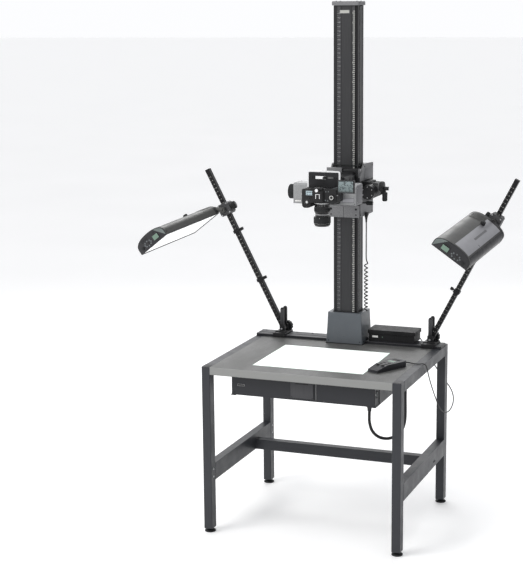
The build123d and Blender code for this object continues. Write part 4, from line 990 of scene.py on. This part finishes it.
s = Shape("crank_details", "crank")
s.lathe([(24.2, 0), (24.2, 1.6), (21, 2.6), (10, 2.6)], "black", "x", (171.6, 300, 1532), 40)
for k in range(16):
    a = 2 * math.pi * k / 16
    s.lathe([(1.8, 0), (1.8, 13), (0, 13.8)], "black", "x", (157.2, 300 + 23.6 * math.cos(a), 1532 + 23.6 * math.sin(a)), 10)
s.lathe([(5, 0), (5, 1.2), (3.2, 2.0), (0, 2.0)], "seat", "x", (195.6, 300, 1524), 20)
for k in range(6):
    s.lathe([(12.05, 0), (12.7, 0.8), (12.7, 2.4), (12.05, 3.2)], "rubber", "z", (178, 300, 1472 + k * 5.4), 30)
s.done()

s = Shape("lock_knob_details", "lock_knob")
for k in range(14):
    a = 2 * math.pi * k / 14
    s.lathe([(1.1, 0), (1.1, 24), (0, 24.8)], "rubber", "x", (107, 250 + 8.4 * math.cos(a), 1459 + 8.4 * math.sin(a)), 8)
s.lathe([(5, 0), (5, 1), (0, 1.4)], "seat", "x", (135.6, 250, 1459), 16)
s.done()

# --------------------------------------------------------------------------
# camera
# --------------------------------------------------------------------------
PX, PZ = (-84.0, 70.0), (1490.0, 1637.0)
s = Shape("camera_plate_rim", "camera")


def rounded(x, z, r, n=8):
    pts = []
    for cx, cz, a0 in ((x[1] - r, z[1] - r, 0), (x[0] + r, z[1] - r, 90), (x[0] + r, z[0] + r, 180), (x[1] - r, z[0] + r, 270)):
        for k in range(n + 1):
            a = math.radians(a0 + 90 * k / n)
            pts.append((cx + r * math.cos(a), cz + r * math.sin(a)))
    return pts


def ring(shape, outer, inner, lo, hi, key, at=None):
    """A milled rim between two matching outlines, in XZ, from y = lo to y = hi."""
    t = bmesh.new()
    a = [t.verts.new((p[0], lo, p[1])) for p in outer]
    b = [t.verts.new((p[0], lo, p[1])) for p in inner]
    c = [t.verts.new((p[0], hi, p[1])) for p in outer]
    e = [t.verts.new((p[0], hi, p[1])) for p in inner]
    k = len(a)
    for i in range(k):
        j = (i + 1) % k
        t.faces.new((a[i], a[j], b[j], b[i]))
        t.faces.new((c[j], c[i], e[i], e[j]))
        t.faces.new((a[j], a[i], c[i], c[j]))
        t.faces.new((b[i], b[j], e[j], e[i]))
    bmesh.ops.recalc_face_normals(t, faces=t.faces)
    shape.take(t, key, at)


ring(s, rounded((PX[0] - 0.5, PX[1] + 0.5), (PZ[0] + 14, PZ[1] + 0.5), 10.5), rounded((PX[0] + 5.6, PX[1] - 5.6), (PZ[0] + 20, PZ[1] - 5.6), 5), -41.2, -33.6, "bright")
# lining of the slot
ring(s, rounded((-50.2, 5.4), (1598.0, 1615.0), 1.6, 3), rounded((-48.3, 3.5), (1599.8, 1613.2), 0.6, 3), -40.4, -32.3, "black")
for x in (-64, 50):
    s.screw((x, -38.2, 1606), "y", 3.4, "black_screw", -1.6)
s.box((10, 40), (-38.9, -38.1), (1601, 1612), "cast_dark", 0.5)
for k in range(3):
    s.box((12, 38), (-39.3, -38.7), (1603 + 3 * k, 1604 + 3 * k), "grey_mark", 0.1, 1)
s.done()

s = Shape("camera_top", "camera")
Y0 = -134.0
# top cover, smoother than the grip rubber
s.box((-77, 83), (Y0 - 1.6, Y0 + 0.2), (1506, 1563), "black", 1.6, 3)
# raised shoulder, status display and its bezel
s.box((-60, -13), (Y0 - 4.2, Y0 - 1.2), (1535, 1561), "black_gloss", 1.2, 3)
s.box((-57, -16), (Y0 - 4.6, Y0 - 4.0), (1538.5, 1557.5), "lcd_blue", 0.3, 1)
for k, (a, b) in enumerate(((-54, -44), (-41, -33), (-30, -19))):
    s.box((a, b), (Y0 - 4.8, Y0 - 4.55), (1549, 1554), "grey_key", 0.1, 1)
    s.box((a, b - 2), (Y0 - 4.8, Y0 - 4.55), (1541, 1544), "grey_key", 0.1, 1)
# accessory shoe on the prism
s.box((-20, 22), (Y0 - 12.4, Y0 - 9.6), (1512, 1556), "black", 2.0, 3)
s.box((-9, 11), (Y0 - 14.4, Y0 - 12.0), (1524, 1545), "bright", 0.5)
s.box((-6.5, 8.5), (Y0 - 14.8, Y0 - 14.2), (1522, 1543), "black", 0.3, 1)
# small pale control beside the display, buttons
s.lathe([(7.4, 0), (7.4, -3.2), (6.6, -4.2), (4.6, -4.2), (4.4, -3.4), (0, -3.4)], "bright", "y", (-4, Y0 - 12.0, 1561), 28)
for x, z in ((-46, 1528), (-36, 1528), (-26, 1528), (-40, 1519), (34, 1518), (45, 1516), (36, 1556), (48, 1557)):
    s.lathe([(3.0, 0), (3.0, -1.4), (2.4, -2.0), (0, -2.1)], "grey_key" if x > 0 else "black_gloss", "y", (x, Y0 - 1.4, z), 18)
# collar of the release button and the ring of the mode dial
s.lathe([(9.6, 0.6), (9.6, -1.8), (8.2, -2.6), (6.6, -2.6), (6.4, 0)], "black_gloss", "y", (-54, Y0, 1506), 28)
s.lathe([(14.4, 0), (14.4, -0.9), (12.6, -1.2)], "black_gloss", "y", (64, Y0 + 1.0, 1531), 32)
# strap lugs
for x in (-80.5, 85.5):
    s.lathe([(4.2, -1.2), (4.6, 0), (4.2, 1.2), (2.2, 1.2), (2.0, 0), (2.2, -1.2)], "seat", "z", (x, Y0 + 8, 1540), 20)
# eyepiece and back controls on the upper side
s.box((-20, 22), (Y0 - 6, Y0 + 12), (1561, 1572), "black", 2.2, 3)
s.box((-13, 15), (Y0 - 2, Y0 + 7), (1571.4, 1573.2), "black_gloss", 1.0, 2)
s.frame((-46, 44), (Y0 + 22, Y0 + 84), (1565.6, 1567.6), 3.5, "black", "xy")
s.box((-42.5, 40.5), (Y0 + 25.5, Y0 + 80.5), (1565.6, 1566.6), "black_gloss", 0.4)
for k in range(4):
    s.lathe([(4.2, 0), (4.2, 1.4), (3.4, 2.0), (0, 2.0)], "grey_key", "z", (62, Y0 + 28 + k * 15, 1565.8), 20)
s.lathe([(12, 0), (12, 1.8), (10.5, 2.6), (5.5, 2.6), (5, 2.0), (0, 2.0)], "black_gloss", "z", (-62, Y0 + 40, 1565.8), 32)
# lens release and side doors
s.lathe([(6, 0), (6, -2.4), (5, -3.2), (0, -3.2)], "black_gloss", "z", (46, Y0 + 50, 1503.4), 24)
s.box((83.4, 84.8), (Y0 + 14, Y0 + 80), (1514, 1556), "black", 0.8)
# rubber panel on the left, round the grip
s.box((-79.2, -77.6), (Y0 + 6, Y0 + 88), (1510, 1560), "grip", 0.8)
s.done()

s = Shape("mode_dial_marks", "mode_dial")
s.lathe([(8.9, 0), (8.9, -0.35), (6.9, -0.35), (6.9, 0)], "white_mark", "y", (64, -143.2, 1531), 32)
for k in range(8):
    a = 2 * math.pi * k / 8
    text_into(s, str(k + 1), 3.0, "white_mark", (64 + 10.3 * math.sin(a), -143.4, 1531 + 10.3 * math.cos(a)), STAND_FRONT)
s.done()

s = Shape("shutter_button_top", "shutter_button")
s.lathe([(4.4, 0.05), (4.4, -0.3), (3.0, 0.0), (0, 0.05)], "black_gloss", "y", (-54, -137.5, 1506), 24)
s.done()

# lens
LXC, LYC = 1.0, -84.0
s = Shape("lens_details", "camera")
s.lathe([(36.6, 0), (36.6, 3.0), (35.2, 3.6)], "bright", "z", (LXC, LYC, 1497), 64)
for z in (1479.5, 1461):
    s.lathe([(35.4, -0.5), (36.0, 0), (36.0, 1.0), (35.4, 1.5)], "black_gloss", "z", (LXC, LYC, z), 64)
for k in range(48):
    a = 2 * math.pi * k / 48
    s.box((34.6, 36.6), (-0.9, 0.9), (1463.5, 1477.5), "rubber", 0.3, 1, at=Matrix.Translation((LXC, LYC, 0)) @ Matrix.Rotation(a, 4, "Z"))
s.lathe([(31.7, 0), (32.3, 0.3), (32.3, 1.3), (31.7, 1.6)], "bright", "z", (LXC, LYC, 1447), 64)
# distance marks, plain numbers
for k, t in enumerate(("1", "2", "3", "5", "9")):
    a = math.radians(-90 + (k - 2) * 18)
    mm = Matrix.Translation((LXC, LYC, 0)) @ Matrix.Rotation(a + math.pi / 2, 4, "Z")
    text_into(s, t, 4.6, "white_mark", (0, 0, 0), mm @ Matrix.Translation((0, -34.15, 1488)) @ Matrix.Rotation(math.pi / 2, 4, "X"))
# front: filter ring, inner baffles and the front element
s.lathe([(35.6, 1405.2), (36.8, 1403.2), (36.8, 1401.8), (31.5, 1394.2), (30.3, 1393.9), (29.9, 1395.5)], "black_gloss", "z", (LXC, LYC, 0), 64)
for k in range(4):
    r = 26.5 - k * 1.8
    s.lathe([(r + 1.0, 1396.6 + 1.6 * k), (r + 1.0, 1397.2 + 1.6 * k), (r - 0.4, 1397.2 + 1.6 * k), (r - 0.4, 1396.6 + 1.6 * k)], "black", "z", (LXC, LYC, 0), 64)
s.lathe([(34.2, 0), (34.2, 1.2), (33.2, 1.6)], "white_mark", "z", (LXC, LYC, 1405.6), 64)
s.done()

n = Nodes("coated_lens_glass")
fac = n.new("ShaderNodeLayerWeight")
fac.inputs["Blend"].default_value = 0.4
col = n.mix(fac.outputs["Facing"], (0.012, 0.014, 0.03), (0.05, 0.02, 0.06))
M["lens_glass"] = finish_mat(n, col, 0.04, 0.0, n.bump(n.noise(60, 2), 0.01, 0.0002), coat=1.0, coat_rough=0.03)
s = Shape("lens_front_element", "camera")
s.lathe([(24.2, 1402.6), (21, 1401.0), (16, 1399.4), (10, 1398.4), (4, 1397.9), (0, 1397.8)], "lens_glass", "z", (LXC, LYC, 0), 56)
s.done()

s = Shape("focus_ring_marks", "focus_ring")
s.lathe([(38.4, 1434.6), (38.9, 1434.9), (38.9, 1435.8), (38.4, 1436.0)], "black_gloss", "z", (LXC, LYC, 0), 64)
s.box((LXC - 0.5, LXC + 0.5), (LYC - 38.95, LYC - 38.4), (1431, 1435.6), "white_mark", 0, 1)
s.done()

# display
n = Nodes("display_screen")
gx = n.remap(n.axis(0), 0.090 + OX, 0.164 + OX, 0, 1)
gz = n.remap(n.axis(2), 1.553, 1.607, 0, 1)
base = n.mix(gz, (0.10, 0.128, 0.13), (0.20, 0.245, 0.25))
blot = n.remap(n.noise(95, 4, 0.6), 0.50, 0.56, 0, 0.8)
base = n.mix(blot, base, (0.03, 0.04, 0.042))
bar = n.inside(x=(92, 160), z=(1556.6, 1560.6))
base = n.mix(n.maths("MULTIPLY", bar, 0.8), base, (0.05, 0.06, 0.06))
M["screen"] = finish_mat(n, base, 0.15, 0.0, n.bump(n.noise(600, 1), 0.01, 0.0002), coat=0.5)
n.link(base, n.b.inputs["Emission Color"])
n.b.inputs["Emission Strength"].default_value = 0.10
s = Shape("display_details", "camera_display")
s.box((89.4, 164.6), (-129.1, -127.8), (1552.4, 1607.6), "black_gloss", 1.2, 3)
s.box((92.5, 160.5), (-129.5, -128.9), (1556, 1604.5), "screen", 0.3, 1)
s.box((90, 164), (-118.2, -117.2), (1553, 1607), "black", 0.8)
for k in range(5):
    s.box((96 + k * 13, 104 + k * 13), (-117.4, -116.8), (1560, 1561.4), "dark_gap", 0.1, 1)
s.done()


# --------------------------------------------------------------------------
# lamp sides
# --------------------------------------------------------------------------
LEAN = math.radians(27.15)
SIDES = {
    "left": dict(hx=-342.0, lean=-LEAN, inward=1, collars=(263, 527), c=(-759.6, 53.6, 1304.1), yaw=-9.19, tilt=-36.27, pit=5.21),
    "right": dict(hx=402.0, lean=LEAN, inward=-1, collars=(263,), c=(635.3, 38.8, 1329.5), yaw=-6.18, tilt=34.5, pit=6.98),
}


def bez(p0, p1, p2, p3, n=14):
    out = []
    for k in range(n + 1):
        t = k / n
        out.append(tuple((1 - t) ** 3 * a + 3 * (1 - t) ** 2 * t * b + 3 * (1 - t) * t * t * c + t ** 3 * e for a, b, c, e in zip(p0, p1, p2, p3)))
    return out


HW, HL, LH = 93.5, 227.0, 62.0


def section(grow=0.0, top=LH):
    w, h = HW + grow, top + grow
    pts = [(-w, 0.0)] + bez((-w, 22), (-w, 50), (-w + 40, h), (0, h)) + bez((0, h), (w - 40, h), (w, 50), (w, 22))[1:] + [(w, 0.0)]
    return pts


def skin_strip(shape, pts, y0, y1, key, lift=0.0, thick=0.8, at=None):
    """A thin band that follows the lamp's rounded back."""
    t = bmesh.new()
    k = len(pts)
    rows = []
    for y in (y0, y1):
        for off in (0, thick):
            row = []
            for i, (x, z) in enumerate(pts):
                a = Vector(pts[max(i - 1, 0)])
                b = Vector(pts[min(i + 1, k - 1)])
                tan = (b - a).normalized()
                nrm = Vector((-tan.y, tan.x))
                q = Vector((x, z)) + nrm * (lift + off)
                row.append(t.verts.new((q.x, y, q.y)))
            rows.append(row)
    a0, a1, b0, b1 = rows
    for i in range(k - 1):
        t.faces.new((a1[i], a1[i + 1], b1[i + 1], b1[i]))
        t.faces.new((a0[i + 1], a0[i], b0[i], b0[i + 1]))
        t.faces.new((a0[i], a0[i + 1], a1[i + 1], a1[i]))
        t.faces.new((b0[i + 1], b0[i], b1[i], b1[i + 1]))
    t.faces.new((a0[0], a1[0], b1[0], b0[0]))
    t.faces.new((a1[-1], a0[-1], b0[-1], b1[-1]))
    bmesh.ops.recalc_face_normals(t, faces=t.faces)
    shape.take(t, key, at)


for side, q in SIDES.items():
    hx, lean, inw = q["hx"], q["lean"], q["inward"]
    arm = Matrix.Translation((hx, 330, 815)) @ Matrix.Rotation(lean, 4, "Y")
    clamp = arm @ Matrix.Translation((0, 0, 648))
    lamp = (Matrix.Translation(q["c"]) @ Matrix.Rotation(math.radians(q["yaw"]), 4, "Z")
            @ Matrix.Rotation(math.radians(q["pit"]), 4, "X") @ Matrix.Rotation(math.radians(q["tilt"]), 4, "Y"))

    # rail clamp
    s = Shape("rail_clamp_details_" + side, "rail_clamp_" + side)
    for x in (-26, 26):
        s.screw((hx + x, 282, 801), "z", 4.2, "black_screw", 3.4)
        s.screw((hx + x, 356, 801), "z", 4.2, "black_screw", 3.4)
        s.screw((hx + x, 264, 788), "y", 3.2, "black_screw", -2.2)
    s.box((hx - 30, hx + 30), (292, 304.4), (800.6, 806), "cast_dark", 1.6, 3)
    s.box((hx - 9, hx + 9), (304.2, 304.9), (838, 912), "anod", 0.4)
    s.box((hx - 9, hx + 9), (355.1, 355.8), (838, 912), "anod", 0.4)
    s.done()

    # pivot knob
    s = Shape("pivot_knob_cap_" + side, "pivot_knob_" + side)
    s.lathe([(21, 0), (21, 1.0), (18.5, 1.8), (0, 1.8)], "black_gloss", "y", (hx, 390.8, 815), 36)
    s.lathe([(4.2, 0), (4.2, 1.2), (0, 1.8)], "seat", "y", (hx, 392.4, 815), 18)
    s.lathe([(5.2, 0), (5.2, -3), (0, -3.8)], "seat", "y", (hx, 298.2, 815), 6)
    s.done()

    # arm: white scale on the front, plug on the end, collar screws
    s = Shape("arm_scale_" + side, "arm_" + side, arm)
    for k in range(2, 42):
        z = k * 20.0
        if any(abs(z - h) < 12 for h in q["collars"]):
            continue
        s.box((-9.6, -5.6), (-12.72, -12.5), (z, z + 2.2), "tick", 0, 1)
        text_into(s, str(k), 6.8, "tick", (2.6, -12.62, z + 0.8), STAND_FRONT)
    s.box((-11.6, 11.6), (-13.1, 13.1), (856, 862.4), "black", 1.2, 3)
    for h in q["collars"]:
        xs = inw * 34.0
        for k in range(10):
            a = 2 * math.pi * k / 10
            s.lathe([(1.2, 0), (1.2, 12)], "rubber", "x", (min(inw * 21, inw * 33), 6.6 * math.cos(a), h + 6.6 * math.sin(a)), 8)
        s.lathe([(4, 0), (4, 1.2 * inw), (0, 1.6 * inw)], "seat", "x", (xs, 0, h), 14)
        s.frame((-15.4, 15.4), (-16.9, 16.9), (h - 0.8, h + 0.8), 0.8, "dark_gap", "xy")
    s.done()

    # arm clamp
    s = Shape("arm_clamp_details_" + side, "arm_clamp_" + side, clamp)
    for a, b in ((-22, -22), (-22, 22), (22, -22), (22, 22)):
        s.screw((a, -33, b), "y", 4.0, "seat", -2.2)
    s.box((-30.5, 30.5), (-14.2, -13.2), (-25, 25), "dark_gap", 0.1, 1)
    s.lathe([(12.6, -2), (12.6, 4), (11.2, 5.5)], "cast_dark", "y", (0, -42, 0), 32)
    for z in (-20, 20):
        s.screw((0, 27, z), "y", 3.2, "black_screw", 2.0)
    s.box((-24, 24), (26.6, 28.2), (-12, 12), "cast_dark", 0.7)
    s.done()

    s = Shape("clamp_knob_cap_" + side, "clamp_knob_" + side, clamp)
    s.lathe([(13, 0), (13, 1.2 * inw), (11, 1.9 * inw), (0, 1.9 * inw)], "black_gloss", "x", (inw * 51.8, 0, 0), 28)
    s.done()

    # lamp
    s = Shape("lamp_trim_" + side, "lamp_" + side, lamp)
    # frame round the opal window
    s.frame((-93.9, 93.9), (-228.4, 228.4), (-2.6, 1.4), 4.6, "end_dark", "xy")
    # front end: moulded face in two tones, keys in an oval on the dark one
    sec = section(0.0)
    px = -1 if side == "left" else 1
    s.prism([(x * 0.992, 1.0 + z * 0.97) for x, z in sec], -229.4, -226.8, "end_dark", "xz", 0.6)
    tip = [(x * 0.965, 2.2 + z * 0.925) for x, z in sec if -px * x >= 34]
    edge = sorted([p[1] for p in tip])
    s.prism(tip, -230.2, -229.2, "end_grey", "xz")
    skin_strip(s, sec, -228.4, -221, "shell", 0.0, 0.7)
    skin_strip(s, sec, -221, -219.8, "dark_gap", 0.0, 0.3)
    # display and the oval of keys beside it
    lx = -px * 34
    s.box((lx - 20, lx + 20), (-231.6, -229.2), (9, 37), "black_gloss", 1.0, 2)
    s.box((lx - 17, lx + 17), (-232.3, -231.5), (12, 34), "lcd", 0.3, 1)
    s.lathe([(2.8, 0), (2.8, -1.1), (0, -1.6)], "black_screw", "y", (lx, -229.4, 46), 14)
    cx = px * 24
    for k in range(8):
        a = 2 * math.pi * k / 8
        s.lathe([(3.8, 0), (3.8, -1.3), (2.9, -1.8), (0, -1.8)], "grey_key", "y", (cx + 22 * math.cos(a), -229.4, 21 + 11.5 * math.sin(a)), 16)
    s.lathe([(6.4, 0), (6.4, -1.6), (5.2, -2.2), (0, -2.2)], "black_gloss", "y", (cx, -229.4, 21), 24)
    s.lathe([(8.2, 0), (8.2, -3.0), (6.9, -4.0), (0, -4.0)], "rubber", "y", (px * 66, -229.4, 16), 28)
    for k in range(3):
        s.frame((-53.4 + 14 * k, -42.6 + 14 * k), (-230.3, -229.2), (37.6, 48.4), 1.0, "black_gloss", "xz")
    # cooling ribs over the rear of the back
    ribs = section(0.0)[6:-6]
    ribs = ribs if side == "left" else ribs[:9]
    for k in range(9):
        y = 138 + k * 8.4
        skin_strip(s, ribs, y, y + 4.2, "shell", 0.0, 1.3)
        skin_strip(s, ribs, y + 4.6, y + 7.4, "end_dark", 0.0, 0.25)
    # rear end cap
    skin_strip(s, sec, 206, 228.0, "cast_dark", 0.0, 0.9)
    s.prism([(x * 0.985, 1.5 + z * 0.955) for x, z in sec], 226.6, 228.4, "end_dark", "xz")
    # long crease and blank silver panel on the outer flank
    flank = section(0.0)
    if side == "right":
        skin_strip(s, flank[14:23], -218, 200, "silver", 0.0, 0.9)
        skin_strip(s, flank[-8:-1], -218, 200, "end_dark", 0.0, 0.7)
        skin_strip(s, flank[17:19], -60, 96, "cast_mid", 0.9, 0.12)
    skin_strip(s, [flank[0], flank[1]] if px < 0 else [flank[-2], flank[-1]], -200, 200, "shell", 0.0, 0.9)
    # screws
    for y in (-214, 216):
        for x in (-1, 1):
            s.screw((x * 93.4, y, 12), "x", 2.6, "black_screw", 1.6 * x)
    # small black knob on the back
    s.lathe([(10.5, 0), (10.5, 14), (8.8, 16.4), (0, 16.6)], "black", "z", (-6, 118, LH + 2.0), 32)
    for k in range(12):
        a = 2 * math.pi * k / 12
        s.lathe([(1.3, 0), (1.3, 12), (0, 12.8)], "rubber", "z", (-6 + 10.3 * math.cos(a), 118 + 10.3 * math.sin(a), LH + 3.5), 8)
    # ends of the mounting bar
    for x in (-82, -40, 40, 82):
        s.screw((x * 0.9, 235, 34), "y", 3.2, "seat", 2.0)
        s.screw((x * 0.9, 235, 20), "y", 3.2, "seat", 2.0)
    s.done()

    # egg-crate relief of the opal window
    s = Shape("lamp_window_" + side, "lamp_" + side, lamp)
    for k in range(1, 22):
        y = -222 + k * 20.2
        s.box((-90, 90), (y - 0.45, y + 0.45), (-0.1, 0.8), "diffuser", 0.2, 1)
    for k in range(1, 9):
        x = -90 + k * 20
        s.box((x - 0.45, x + 0.45), (-222, 222), (-0.1, 0.8), "diffuser", 0.2, 1)
    s.done()

# --------------------------------------------------------------------------
# feet
# --------------------------------------------------------------------------
for f in ("front_left", "front_right", "rear_left", "rear_right"):
    x = -445 if "left" in f else 445
    y = -375 if "front" in f else 375
    s = Shape("foot_details_" + f, "foot_" + f)
    s.lathe([(10.9, 0), (10.9, 0.8), (5.4, 0.8)], "seat", "z", (x, y, 16.9), 6)
    s.lathe([(24.9, 0), (25.3, 0.6), (25.3, 1.4), (24.9, 2.0)], "rubber", "z", (x, y, 2.2), 40)
    s.done()
